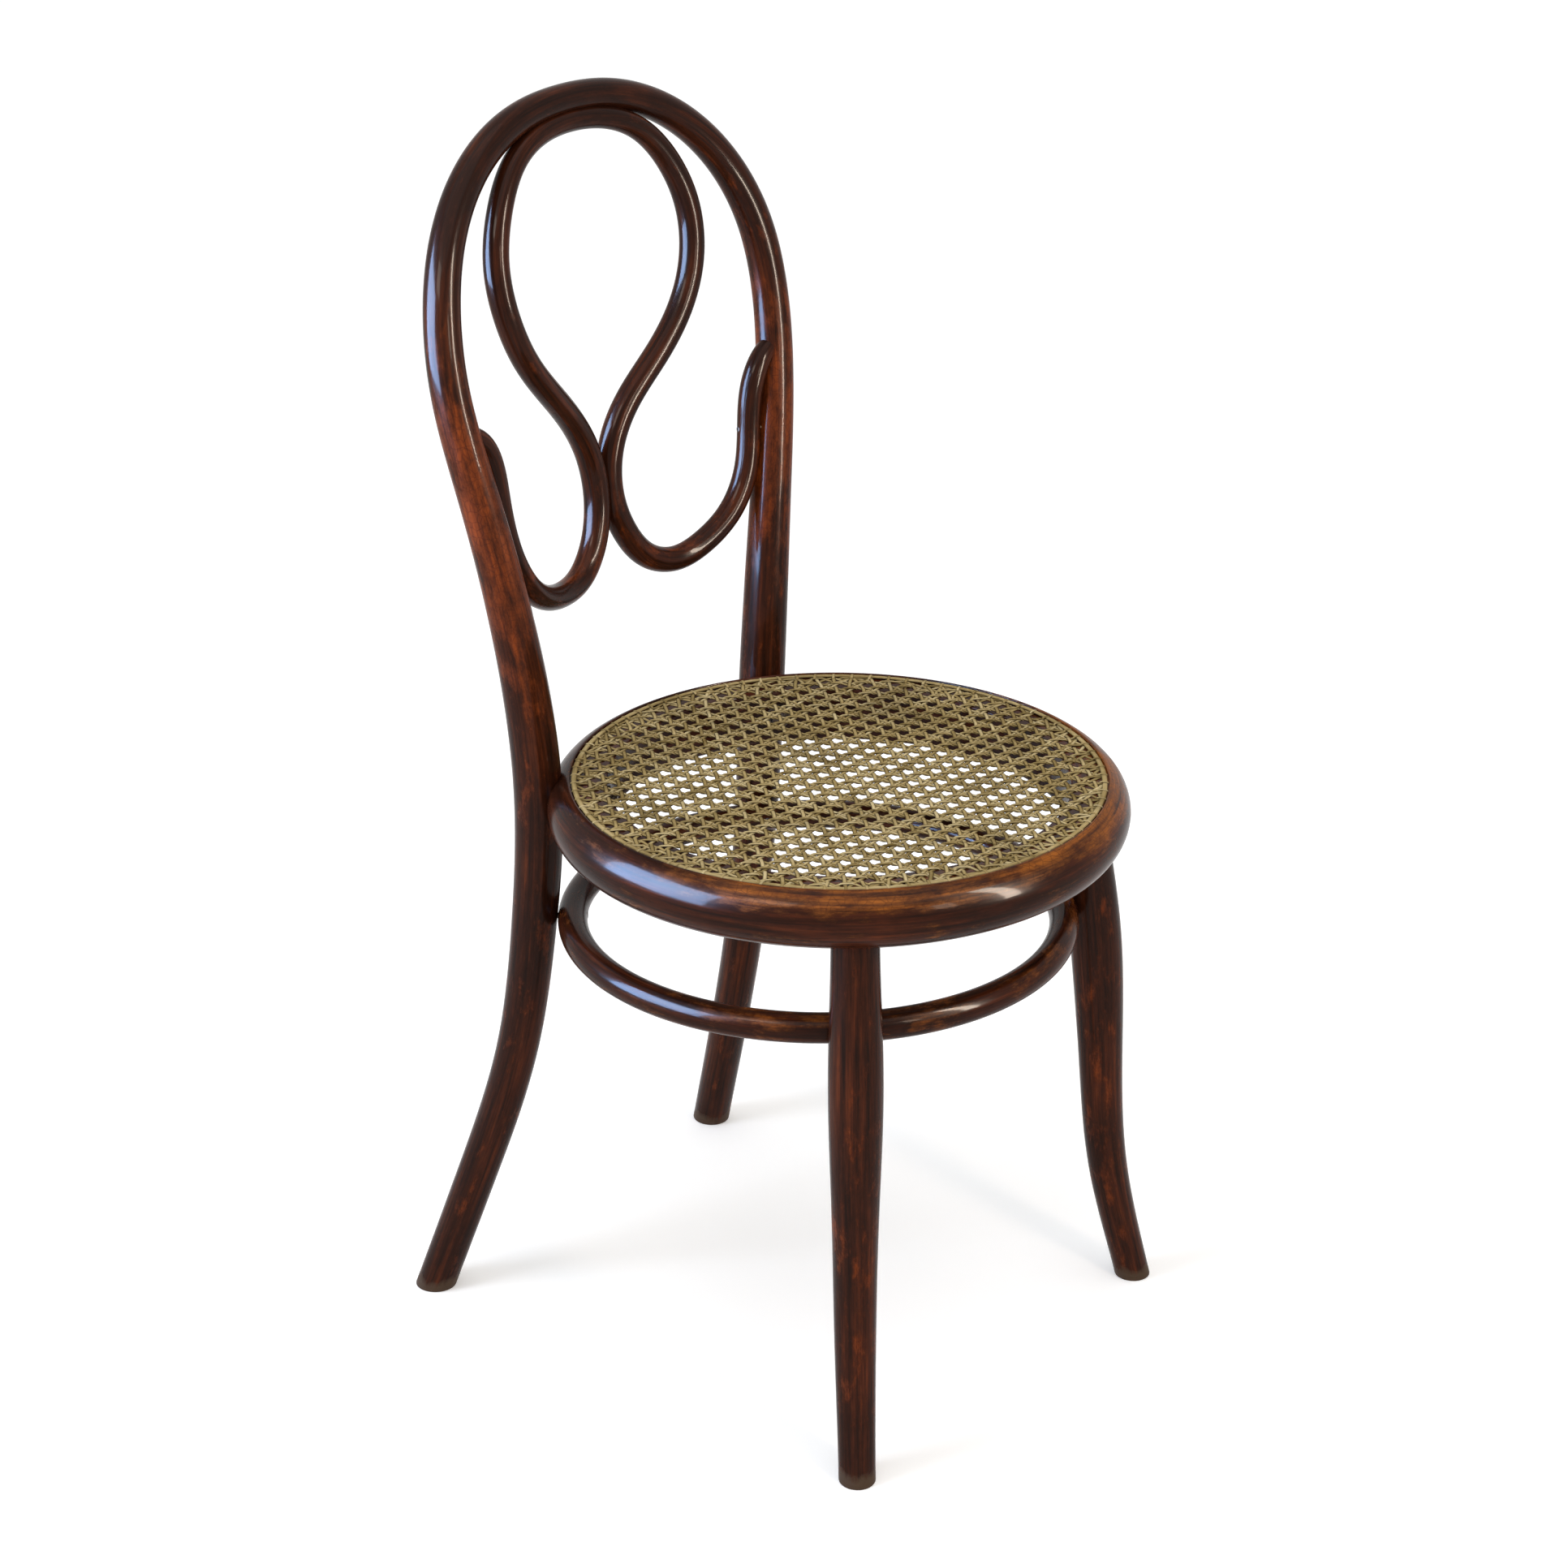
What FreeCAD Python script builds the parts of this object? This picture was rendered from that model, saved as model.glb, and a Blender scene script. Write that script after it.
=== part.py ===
import FreeCAD, Part
import math
import os
import Sketcher

# Bentwood bistro chair with a round cane seat, in millimetres.
# +Z is up and the front faces -Y. The origin lies on the floor, under the middle of the chair's box.
# Everything is laid out about the middle of the seat and moved to that origin at the end.

Vector = FreeCAD.Vector

# Driving dimensions, one row of the sheet each.
SIZES = {
    # Seat ring, a bent ring with a rounded outer edge and a ledge for the cane
    "seat_height": 460.0,
    "seat_outer_radius": 219.0,
    "seat_inner_radius": 174.0,
    "seat_edge_radius": 24.4,
    "seat_edge_drop": 21.4,
    "seat_bottom_rounding": 6.0,
    "seat_lip_rounding": 1.5,
    "ledge_radius": 201.9,
    # Cane panel, binder, ties and pegs
    "cane_thickness": 1.2,
    "cane_edge_gap": 0.3,
    "cane_gap_width": 8.0,
    "cane_gap_corner": 2.3,
    "cane_rim_margin": 8.0,
    "cane_hole_count": 84,
    "cane_hole_radius": 2.25,
    "cane_hole_depth": 15.0,
    "binder_width": 6.0,
    "binder_thickness": 1.2,
    "binder_gap": 0.9,
    "tie_width": 2.4,
    "tie_thickness": 0.5,
    "tie_clearance": 0.05,
    "peg_clearance": 0.2,
    "peg_length": 12.0,
    # Front legs, each in an upright plane through the middle of the seat
    "front_leg_angle": 49.2,
    "front_flare_angle": 47.0,
    "front_leg_inset": 28.1,
    "tenon_radius": 9.0,
    "tenon_length": 24.0,
    "tenon_clearance": 0.1,
    # Back frame, one rod from foot to foot
    "stile_angle": 36.7,
    "stile_housing": 10.8,
    "shoulder_height": 765.0,
    "crown_height": 934.0,
    "arch_exponent": 2.17,
    # Joints between the bent rods
    "joint_gap": 0.2,
    "clasp_gap": 0.2,
    # Leg ring
    "leg_ring_height": 339.0,
    "leg_ring_rod_radius": 11.4,
    "leg_ring_housing": 5.0,
    "leg_ring_gap": 0.3,
    # Coach screws through the seat ring into the stiles, each to a little past the stile's axis
    "coach_shank_radius": 4.0,
    "coach_head_flats": 13.0,
    "coach_head_height": 5.5,
    "coach_bite": 5.5,
    "washer_radius": 10.0,
    "washer_thickness": 1.6,
    # Round-headed wood screws
    "screw_shank_radius": 2.2,
    "screw_head_radius": 4.2,
    "screw_head_height": 3.0,
    "screw_point_length": 4.0,
    "screw_slot_width": 1.1,
    "screw_slot_depth": 1.2,
    "screw_clearance": 0.1,
    "spotface_depth": 2.6,
    "spotface_clearance": 0.3,
    "leg_ring_screw_length": 36.0,
    "loop_end_screw_length": 34.0,
    "loop_end_screw_drop": 279.0,
    "loop_end_screw_angle": 30.0,
    "loop_top_screw_length": 27.0,
    "clasp_screw_length": 31.0,
}

# Stations of a front leg at even quarters of its height, from the floor to the seat ring:
# how far each stands outside the leg's top, and the rod's radius there.
FRONT_LEG = {
    "front_foot": (56.4, 13.8),
    "front_ankle": (31.8, 15.4),
    "front_shin": (21.8, 17.5),
    "front_knee": (13.8, 20.1),
    "front_top": (0.0, 17.6),
}

# Stations of the back frame at even quarters, from the floor to the seat joint and from there
# to the shoulder: outward splay and backward rake from the seat joint, and the rod's radius.
REAR_LEG = {
    "rear_foot": (40.7, 88.2, 15.4),
    "rear_ankle": (22.8, 53.6, 15.7),
    "rear_shin": (7.2, 23.2, 16.2),
    "rear_knee": (1.6, 6.7, 17.4),
    "seat_joint": (0.0, 0.0, 18.4),
}
STILE = {
    "waist": (7.5, 1.5, 17.7),
    "rib": (20.9, 7.1, 16.3),
    "chest": (37.3, 16.3, 15.1),
    "shoulder": (48.0, 31.3, 14.2),
}
CROWN = {
    "crown": (0.0, 80.2, 11.3),
}
ARCH_ANGLES = (14.0, 30.0, 45.0, 60.0, 75.0)

# Stations of half of the back loop, from its end on the stile, down round the lobe, up past the
# clasp in the middle and over to the top. Each has its distance across (inward from the stile's
# axis for the end, outward from the middle for the rest), its drop below the crown's axis, its bow
# behind the stiles and the rod's radius.
LOOP_END = {
    "loop_tip": (7.0, 218.0, -1.0, 8.0),
    "loop_scarf": (18.5, 227.0, 0.0, 8.8),
    "loop_cheek": (24.5, 244.0, 3.0, 9.3),
    "loop_jaw": (23.8, 270.0, 6.5, 9.4),
    "loop_neck": (23.4, 307.0, 7.5, 9.5),
}
LOOP_BODY = {
    "lobe_outer": (118.0, 340.0, 11.0, 9.6),
    "lobe_outer_low": (92.0, 360.0, 19.0, 9.8),
    "lobe_bottom": (66.0, 368.0, 26.5, 9.9),
    "lobe_inner_low": (40.0, 360.0, 32.0, 10.1),
    "lobe_inner": (19.0, 336.0, 35.0, 10.2),
    "clasp": (8.2, 300.0, 37.0, 10.2),
    "heart_point": (13.5, 266.0, 36.0, 10.2),
    "heart_rise": (33.0, 234.0, 30.5, 10.1),
    "heart_flare": (61.0, 205.0, 21.0, 10.0),
    "heart_flank": (88.0, 174.0, 13.0, 9.9),
    "heart_side": (105.0, 139.0, 7.5, 9.9),
    "heart_widest": (109.0, 100.0, 4.0, 9.8),
    "heart_shoulder": (95.0, 61.0, 0.5, 9.5),
    "heart_brow": (72.0, 34.5, -1.0, 9.1),
    "heart_top": (0.0, 15.5, -5.0, 8.6),
}

# The loop was bent by hand, and some stations of its left side lie higher than on the right.
LOOP_LEFT_RISE = {
    "loop_tip": 13.0,
    "loop_scarf": 13.0,
    "loop_cheek": 12.0,
    "loop_jaw": 9.0,
    "lobe_outer": 3.0,
    "lobe_outer_low": 7.0,
    "lobe_bottom": 9.0,
    "lobe_inner_low": 5.0,
    "lobe_inner": 1.0,
}

SECTIONS_PER_SPAN = 3
BISECTION_STEPS = 50
QUARTERS = 4
FLOOR_RUNOUT = 0.25
CUTTER_REACH = 40.0
CUTTER_INNER_SHARE = 0.5

# Working, smallest and largest tolerance for mending the edges that a coped end is left with
HEALING = (1e-3, 1e-3, 1e-2)


def build_sheet(document):
    """Write every driving dimension into the sheet, one alias each."""
    rows = dict(SIZES)
    for name, (flare, radius) in FRONT_LEG.items():
        rows[name + "_flare"] = flare
        rows[name + "_radius"] = radius
    for name, (splay, rake, radius) in {**REAR_LEG, **STILE, **CROWN}.items():
        rows[name + "_splay"] = splay
        rows[name + "_rake"] = rake
        rows[name + "_radius"] = radius
    for name, (across, drop, bow, radius) in {**LOOP_END, **LOOP_BODY}.items():
        rows[name + "_across"] = across
        rows[name + "_drop"] = drop
        rows[name + "_bow"] = bow
        rows[name + "_radius"] = radius
    for name, rise in LOOP_LEFT_RISE.items():
        rows[name + "_left_rise"] = rise
    sheet = document.addObject("Spreadsheet::Sheet", "Sizes")
    for row, (alias, value) in enumerate(rows.items(), start=1):
        sheet.set("A%d" % row, alias)
        sheet.set("B%d" % row, str(value))
        sheet.setAlias("B%d" % row, alias)
    document.recompute()
    return sheet


doc = FreeCAD.newDocument("bentwood_chair")
sizes = build_sheet(doc)


def size(alias):
    """Read one driving dimension from the sheet."""
    return float(getattr(sizes, alias))


def sheet_rule(rule):
    """Turn a rule in plain aliases, each marked with @, into an expression on the sheet."""
    return rule.replace("@", "Sizes.")


# Rods: a smooth centreline through stations, with circles carried along it

class Rod:
    """A bent rod: a smooth centreline through stations, and a radius that changes along it."""

    def __init__(self, points, radii):
        lengths = [0.0]
        for start, end in zip(points, points[1:]):
            lengths.append(lengths[-1] + start.distanceToPoint(end))
        self.parameters = lengths
        self.line = Part.BSplineCurve()
        self.line.interpolate(Points=points, Parameters=lengths)
        self.thickness = Part.BSplineCurve()
        self.thickness.interpolate(Points=[Vector(r, s, 0) for r, s in zip(radii, lengths)],
                                   Parameters=lengths)

    def centre(self, along):
        return self.line.value(along)

    def radius(self, along):
        return self.thickness.value(along).x

    def section(self, along, grow, reference):
        """A circle square to the rod in quarter arcs, its start turned to the same side all along."""
        normal = self.line.tangent(along)[0]
        side = (reference - normal * reference.dot(normal)).normalize()
        across = normal.cross(side)
        centre = self.centre(along)
        radius = self.radius(along) + grow

        def rim(eighth):
            turn = eighth * math.pi / 4
            return centre + side * (radius * math.cos(turn)) + across * (radius * math.sin(turn))

        arcs = [Part.Arc(rim(start), rim(start + 1), rim(start + 2)) for start in (0, 2, 4, 6)]
        return Part.Wire([arc.toShape() for arc in arcs])

    def solid(self, first, last, reference, grow=0.0):
        """The rod's solid between two of its stations."""
        places = []
        for index in range(first, last):
            start = self.parameters[index]
            span = self.parameters[index + 1] - start
            places += [start + span * step / SECTIONS_PER_SPAN for step in range(SECTIONS_PER_SPAN)]
        places.append(self.parameters[last])
        return Part.makeLoft([self.section(place, grow, reference) for place in places], True, False)

    def along_at_height(self, height, first, last):
        """Where, between two stations, the centreline reaches a height."""
        low = self.parameters[first]
        high = self.parameters[last]
        rising = self.centre(high).z > self.centre(low).z
        for _ in range(BISECTION_STEPS):
            middle = (low + high) / 2
            if (self.centre(middle).z < height) == rising:
                low = middle
            else:
                high = middle
        return (low + high) / 2


def mirrored(points):
    """A half outline followed back on the other side, its last point on the middle plane."""
    return points + [Vector(-p.x, p.y, p.z) for p in reversed(points[:-1])]


def polar(reach, degrees_from_front, height):
    """A point at a distance from the seat's axis, turned to the right from straight ahead."""
    angle = math.radians(degrees_from_front)
    return Vector(reach * math.sin(angle), -reach * math.cos(angle), height)


# Levels and places that follow from the driving dimensions

ledge_height = size("seat_height") - size("cane_thickness")
edge_height = size("seat_height") - size("seat_edge_drop")
seat_bottom = edge_height - size("seat_edge_radius")
binder_outer = size("ledge_radius") - size("binder_gap")
binder_inner = binder_outer - size("binder_width")
cane_hole_circle = (binder_outer + binder_inner) / 2
front_leg_reach = size("seat_outer_radius") - size("front_leg_inset")
stile_reach = size("seat_outer_radius") + size("seat_joint_radius") - size("stile_housing")
stile_direction = 180.0 - size("stile_angle")
seat_joint = polar(stile_reach, stile_direction, edge_height)


def front_leg_rod():
    """The right front leg's rod, from below the floor to above the seat ring's underside."""
    top = polar(front_leg_reach, size("front_leg_angle"), seat_bottom)
    points = []
    radii = []
    for quarter, name in enumerate(FRONT_LEG):
        flare = polar(size(name + "_flare"), size("front_flare_angle"), 0.0)
        points.append(top + flare - Vector(0, 0, seat_bottom * (1.0 - quarter / QUARTERS)))
        radii.append(size(name + "_radius"))
    below = points[0] + (points[0] - points[1]) * FLOOR_RUNOUT
    above = points[-1] + (points[-1] - points[-2]) * FLOOR_RUNOUT
    return Rod([below] + points + [above], [radii[0]] + radii + [radii[-1]])


def back_frame_rod():
    """The back frame's rod, from below one foot over the crown to below the other."""
    points = []
    radii = []
    for quarter, name in enumerate(REAR_LEG):
        points.append(Vector(seat_joint.x + size(name + "_splay"), seat_joint.y + size(name + "_rake"),
                             edge_height * quarter / QUARTERS))
        radii.append(size(name + "_radius"))
    step = (size("shoulder_height") - edge_height) / QUARTERS
    for quarter, name in enumerate(STILE, start=1):
        points.append(Vector(seat_joint.x + size(name + "_splay"), seat_joint.y + size(name + "_rake"),
                             edge_height + step * quarter))
        radii.append(size(name + "_radius"))
    shoulder = points[-1]
    rise = size("crown_height") - shoulder.z
    lean = seat_joint.y + size("crown_rake") - shoulder.y
    start_lean = (shoulder.y - points[-2].y) / step * rise / lean
    power = 2.0 / size("arch_exponent")
    for angle in ARCH_ANGLES + (90.0,):
        # The arch is a superellipse from the shoulder to the crown, leaning back ever more
        climbed = math.sin(math.radians(angle)) ** power
        width = abs(math.cos(math.radians(angle))) ** power if angle < 90.0 else 0.0
        leaned = start_lean * climbed + (1.0 - start_lean) * climbed ** 2
        points.append(Vector(shoulder.x * width, shoulder.y + lean * leaned, shoulder.z + rise * climbed))
        share = angle / 90.0
        radii.append(size("shoulder_radius") * (1.0 - share) + size("crown_radius") * share)
    below = points[0] + (points[0] - points[1]) * FLOOR_RUNOUT
    points = [below] + points
    radii = [radii[0]] + radii
    return Rod(mirrored(points), radii + radii[-2::-1])


front_leg = front_leg_rod()
back_frame = back_frame_rod()
CROWN_STATION = len(back_frame.parameters) // 2
FRAME_SIDE = Vector(0, 1, 0)
LEG_SIDE = Vector(1, 0, 0)


def stile_at(height):
    """Centre and radius of the right stile at a height."""
    along = back_frame.along_at_height(height, 0, CROWN_STATION)
    return back_frame.centre(along), back_frame.radius(along)


def loop_side(way):
    """The loop's stations on one side, from its end to its top: way is 1 for the right."""
    points = []
    for name in {**LOOP_END, **LOOP_BODY}:
        height = size("crown_height") - size(name + "_drop")
        if way < 0 and name in LOOP_LEFT_RISE:
            height += size(name + "_left_rise")
        if name == "heart_top":
            axis = back_frame.centre(back_frame.parameters[CROWN_STATION])
        else:
            axis = stile_at(height)[0]
        across = axis.x - size(name + "_across") if name in LOOP_END else size(name + "_across")
        points.append(Vector(way * across, axis.y + size(name + "_bow"), height))
    return points


def back_loop_rod():
    """The back loop's rod, from its end on the right stile over the top to the left stile."""
    radii = [size(name + "_radius") for name in {**LOOP_END, **LOOP_BODY}]
    return Rod(loop_side(1) + loop_side(-1)[-2::-1], radii + radii[-2::-1])


back_loop = back_loop_rod()
LOOP_LAST_STATION = len(back_loop.parameters) - 1
LOOP_TOP_STATION = LOOP_LAST_STATION // 2


def leg_ring_circle():
    """Centre and radius of the leg ring: clear of the stiles and let into the front legs."""
    stile, stile_radius = stile_at(size("leg_ring_height"))
    leg_along = front_leg.along_at_height(size("leg_ring_height"), 0, len(FRONT_LEG) + 1)
    leg = front_leg.centre(leg_along)
    rear = stile_radius + size("leg_ring_rod_radius") + size("leg_ring_gap")
    front = front_leg.radius(leg_along) + size("leg_ring_rod_radius") - size("leg_ring_housing")
    # A circle about (0, y) with radius r passes "rear" inside the stile and "front" inside the leg:
    # the two conditions give y as a line in r, and then r from a quadratic.
    depth = stile.y - leg.y
    level = (stile.y ** 2 + stile.x ** 2 - leg.y ** 2 - leg.x ** 2 - rear ** 2 + front ** 2) / (2 * depth)
    slope = (front - rear) / depth
    a = slope ** 2 - 1.0
    b = -2.0 * slope * (stile.y - level) - 2.0 * rear
    c = (stile.y - level) ** 2 + stile.x ** 2 - rear ** 2
    radius = (-b - math.sqrt(b * b - 4.0 * a * c)) / (2.0 * a)
    return Vector(0, level + slope * radius, size("leg_ring_height")), radius, leg, stile


leg_ring_centre, leg_ring_radius, leg_at_ring, stile_at_ring = leg_ring_circle()


# Small tools for bodies, sketches, holes and booleans

def label(feature, name):
    """Name a finished sub-part and remember it for the export."""
    feature.Label = name
    SUBPARTS.append(feature)
    return feature


SUBPARTS = []


def new_body(name):
    return doc.addObject("PartDesign::Body", name)


def origin_item(body, role):
    return next(item for item in body.Origin.OriginFeatures if item.Role == role)


def sketch_on(body, name, role, offset=None):
    """A sketch on one of the body's own origin planes."""
    sketch = body.newObject("Sketcher::SketchObject", name)
    sketch.AttachmentSupport = (origin_item(body, role), "")
    sketch.MapMode = "FlatFace"
    if offset is not None:
        sketch.AttachmentOffset = offset
    return sketch


def distance(sketch, kind, geometry, point, rule):
    """Fix a point's distance from the sketch's origin by a rule on the sheet."""
    place = sketch.getPoint(geometry, point)
    value = place.x if kind == "DistanceX" else place.y
    index = sketch.addConstraint(Sketcher.Constraint(kind, -1, 1, geometry, point, value))
    sketch.setExpression("Constraints[%d]" % index, sheet_rule(rule))


def polyline(sketch, corners):
    """A closed outline of straight lines; each corner is (x, y, x rule, y rule)."""
    count = len(corners)
    for index, (x, y, _, _) in enumerate(corners):
        x_next, y_next = corners[(index + 1) % count][:2]
        sketch.addGeometry(Part.LineSegment(Vector(x, y, 0), Vector(x_next, y_next, 0)), False)
    for index in range(count):
        sketch.addConstraint(Sketcher.Constraint("Coincident", index, 2, (index + 1) % count, 1))
    for index, (_, _, x_rule, y_rule) in enumerate(corners):
        distance(sketch, "DistanceX", index, 1, x_rule)
        distance(sketch, "DistanceY", index, 1, y_rule)


def revolve(body, sketch, name):
    """Turn a sketch once round the body's own Z axis."""
    feature = body.newObject("PartDesign::Revolution", name)
    feature.Profile = sketch
    feature.ReferenceAxis = (origin_item(body, "Z_Axis"), [""])
    feature.Angle = 360.0
    doc.recompute()
    return feature


def drill(body, name, start, direction, radius_rule, length):
    """A round hole in a body, from a point along a direction."""
    hole = body.newObject("PartDesign::SubtractiveCylinder", name)
    hole.AttachmentSupport = (origin_item(body, "XY_Plane"), "")
    hole.MapMode = "FlatFace"
    hole.AttachmentOffset = FreeCAD.Placement(start, FreeCAD.Rotation(Vector(0, 0, 1), direction))
    hole.Height = length
    hole.setExpression("Radius", sheet_rule(radius_rule))
    doc.recompute()
    return hole


def rounding(body, name, base, radius_rule, ring_radius, height):
    """Round the circular edge of a body that has a radius and a height."""
    edges = []
    for number, edge in enumerate(base.Shape.Edges, start=1):
        if isinstance(edge.Curve, Part.Circle) and abs(edge.Curve.Radius - ring_radius) < 0.01 \
                and abs(edge.Curve.Center.z - height) < 0.01:
            edges.append("Edge%d" % number)
    fillet = body.newObject("PartDesign::Fillet", name)
    fillet.Base = (base, edges)
    fillet.setExpression("Radius", sheet_rule(radius_rule))
    doc.recompute()
    return fillet


def bored(shape, start, direction, radius, length):
    """A shape with a round hole from a point along a direction."""
    return shape.cut(Part.makeCylinder(radius, length, start, direction))


def shaped(name, shape):
    """A sub-part whose shape is made with Part's own functions."""
    feature = doc.addObject("Part::Feature", name)
    feature.Shape = shape
    return label(feature, name)


def above_floor(shape):
    """A rod's solid cut flat at the floor."""
    box = shape.BoundBox
    waste = Part.makeBox(box.XLength, box.YLength, -box.ZMin, Vector(box.XMin, box.YMin, box.ZMin))
    return shape.cut(waste)


# Screws: where each one starts, where it points and how long it is

class Screw:
    """A wood screw: the middle of its head's seat, its direction and its length."""

    def __init__(self, name, seat, direction, length_alias):
        self.name = name
        self.seat = seat
        self.direction = Vector(direction).normalize()
        self.length_alias = length_alias

    def hole(self, shape):
        """Bore the screw's hole and its spotface in a shape."""
        radius = size("screw_shank_radius") + size("screw_clearance")
        length = size(self.length_alias) + size("screw_clearance")
        shape = bored(shape, self.seat, self.direction, radius, length)
        face = size("screw_head_radius") + size("spotface_clearance")
        return bored(shape, self.seat, self.direction * -1, face, size("screw_head_height"))


def level_screw(name, centre, target, rod_radius, length_alias):
    """A level screw through a rod towards a target, its head in a spotface on the near side."""
    direction = Vector(target.x - centre.x, target.y - centre.y, 0).normalize()
    seat = centre - direction * (rod_radius - size("spotface_depth"))
    return Screw(name, seat, direction, length_alias)


def mirror_x(vector):
    return Vector(-vector.x, vector.y, vector.z)


def leg_ring_screws():
    """One screw from inside the leg ring into each leg."""
    screws = []
    for place, target in (("front", leg_at_ring), ("rear", stile_at_ring)):
        for side, aim in (("right", target), ("left", mirror_x(target))):
            outward = (aim - leg_ring_centre).normalize()
            centre = leg_ring_centre + outward * leg_ring_radius
            screws.append(level_screw("leg_ring_screw_%s_%s" % (place, side), centre, aim,
                                      size("leg_ring_rod_radius"), "leg_ring_screw_length"))
    return screws


def loop_end_screws():
    """One screw from behind each loop end, slanting forward and outward into the stile."""
    height = size("crown_height") - size("loop_end_screw_drop")
    angle = math.radians(size("loop_end_screw_angle"))
    outward = Vector(math.cos(angle), -math.sin(angle), 0)
    sides = (("right", 0, len(LOOP_END), outward),
             ("left", LOOP_LAST_STATION - len(LOOP_END), LOOP_LAST_STATION, mirror_x(outward)))
    screws = []
    for side, first, last, way in sides:
        along = back_loop.along_at_height(height, first, last)
        centre = back_loop.centre(along)
        screws.append(level_screw("loop_end_screw_" + side, centre, centre + way,
                                  back_loop.radius(along), "loop_end_screw_length"))
    return screws


def loop_top_screw():
    """A screw up through the top of the loop into the crown, midway between their axes."""
    loop_along = back_loop.parameters[LOOP_TOP_STATION]
    top = back_loop.centre(loop_along)
    crown = back_frame.centre(back_frame.parameters[CROWN_STATION])
    seat = Vector(0, (top.y + crown.y) / 2,
                  top.z - back_loop.radius(loop_along) + size("spotface_depth"))
    return Screw("loop_top_screw", seat, Vector(0, 0, 1), "loop_top_screw_length")


def clasp_screw():
    """A screw from right to left through the two passes of the loop where they touch."""
    station = len(LOOP_END) + list(LOOP_BODY).index("clasp")
    along = back_loop.parameters[station]
    centre = back_loop.centre(along)
    return level_screw("loop_clasp_screw", centre, centre - Vector(1, 0, 0),
                       back_loop.radius(along), "clasp_screw_length")


ring_screws = leg_ring_screws()
end_screws = loop_end_screws()
top_screw = loop_top_screw()
middle_screw = clasp_screw()


# Coach screws from inside the seat ring into the stiles

coach_reach = math.sqrt(size("seat_inner_radius") ** 2 - size("washer_radius") ** 2) \
    - size("washer_thickness")
coach_length = stile_reach - coach_reach + size("coach_bite")
coach_length_rule = "@seat_outer_radius + @seat_joint_radius - @stile_housing + @coach_bite" \
    " + @washer_thickness - sqrt(@seat_inner_radius ^ 2 - @washer_radius ^ 2)"
coach_hole_rule = "@coach_shank_radius + @screw_clearance"
coach_hole_radius = size("coach_shank_radius") + size("screw_clearance")
coach_directions = {"right": Vector(seat_joint.x, seat_joint.y, 0).normalize()}
coach_directions["left"] = mirror_x(coach_directions["right"])


def coach_start(side):
    """Where the coach screw's head bears on its washer."""
    return coach_directions[side] * coach_reach + Vector(0, 0, edge_height)


# Seat ring

def seat_profile(sketch, grow, inner_share):
    """Half section of the seat ring; as a cutter it is wider outside and reaches further in."""
    inner = size("seat_inner_radius") * inner_share
    middle = size("seat_outer_radius") - size("seat_edge_radius")
    edge = size("seat_edge_radius") + grow
    rim = size("ledge_radius")
    rim_top = edge_height + math.sqrt(edge ** 2 - (rim - middle) ** 2)
    bottom = edge_height - edge
    rim_angle = math.asin((rim_top - edge_height) / edge)
    sketch.addGeometry(Part.LineSegment(Vector(inner, bottom, 0), Vector(middle, bottom, 0)), False)
    circle = Part.Circle(Vector(middle, edge_height, 0), Vector(0, 0, 1), edge)
    sketch.addGeometry(Part.ArcOfCircle(circle, -math.pi / 2, rim_angle), False)
    sketch.addGeometry(Part.LineSegment(Vector(rim, rim_top, 0), Vector(rim, ledge_height, 0)), False)
    sketch.addGeometry(Part.LineSegment(Vector(rim, ledge_height, 0), Vector(inner, ledge_height, 0)), False)
    sketch.addGeometry(Part.LineSegment(Vector(inner, ledge_height, 0), Vector(inner, bottom, 0)), False)
    sketch.addConstraint(Sketcher.Constraint("Tangent", 0, 2, 1, 1))
    for first, second in ((1, 2), (2, 3), (3, 4), (4, 0)):
        sketch.addConstraint(Sketcher.Constraint("Coincident", first, 2, second, 1))
    sketch.addConstraint(Sketcher.Constraint("Horizontal", 0))
    sketch.addConstraint(Sketcher.Constraint("Vertical", 2))
    sketch.addConstraint(Sketcher.Constraint("Horizontal", 3))
    sketch.addConstraint(Sketcher.Constraint("Vertical", 4))
    radius = sketch.addConstraint(Sketcher.Constraint("Radius", 1, edge))
    sketch.setExpression("Constraints[%d]" % radius, sheet_rule("@seat_edge_radius + %g" % grow))
    distance(sketch, "DistanceX", 1, 3, "@seat_outer_radius - @seat_edge_radius")
    distance(sketch, "DistanceY", 1, 3, "@seat_height - @seat_edge_drop")
    distance(sketch, "DistanceX", 2, 2, "@ledge_radius")
    distance(sketch, "DistanceY", 2, 2, "@seat_height - @cane_thickness")
    distance(sketch, "DistanceX", 4, 1, "@seat_inner_radius * %g" % inner_share)


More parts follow.
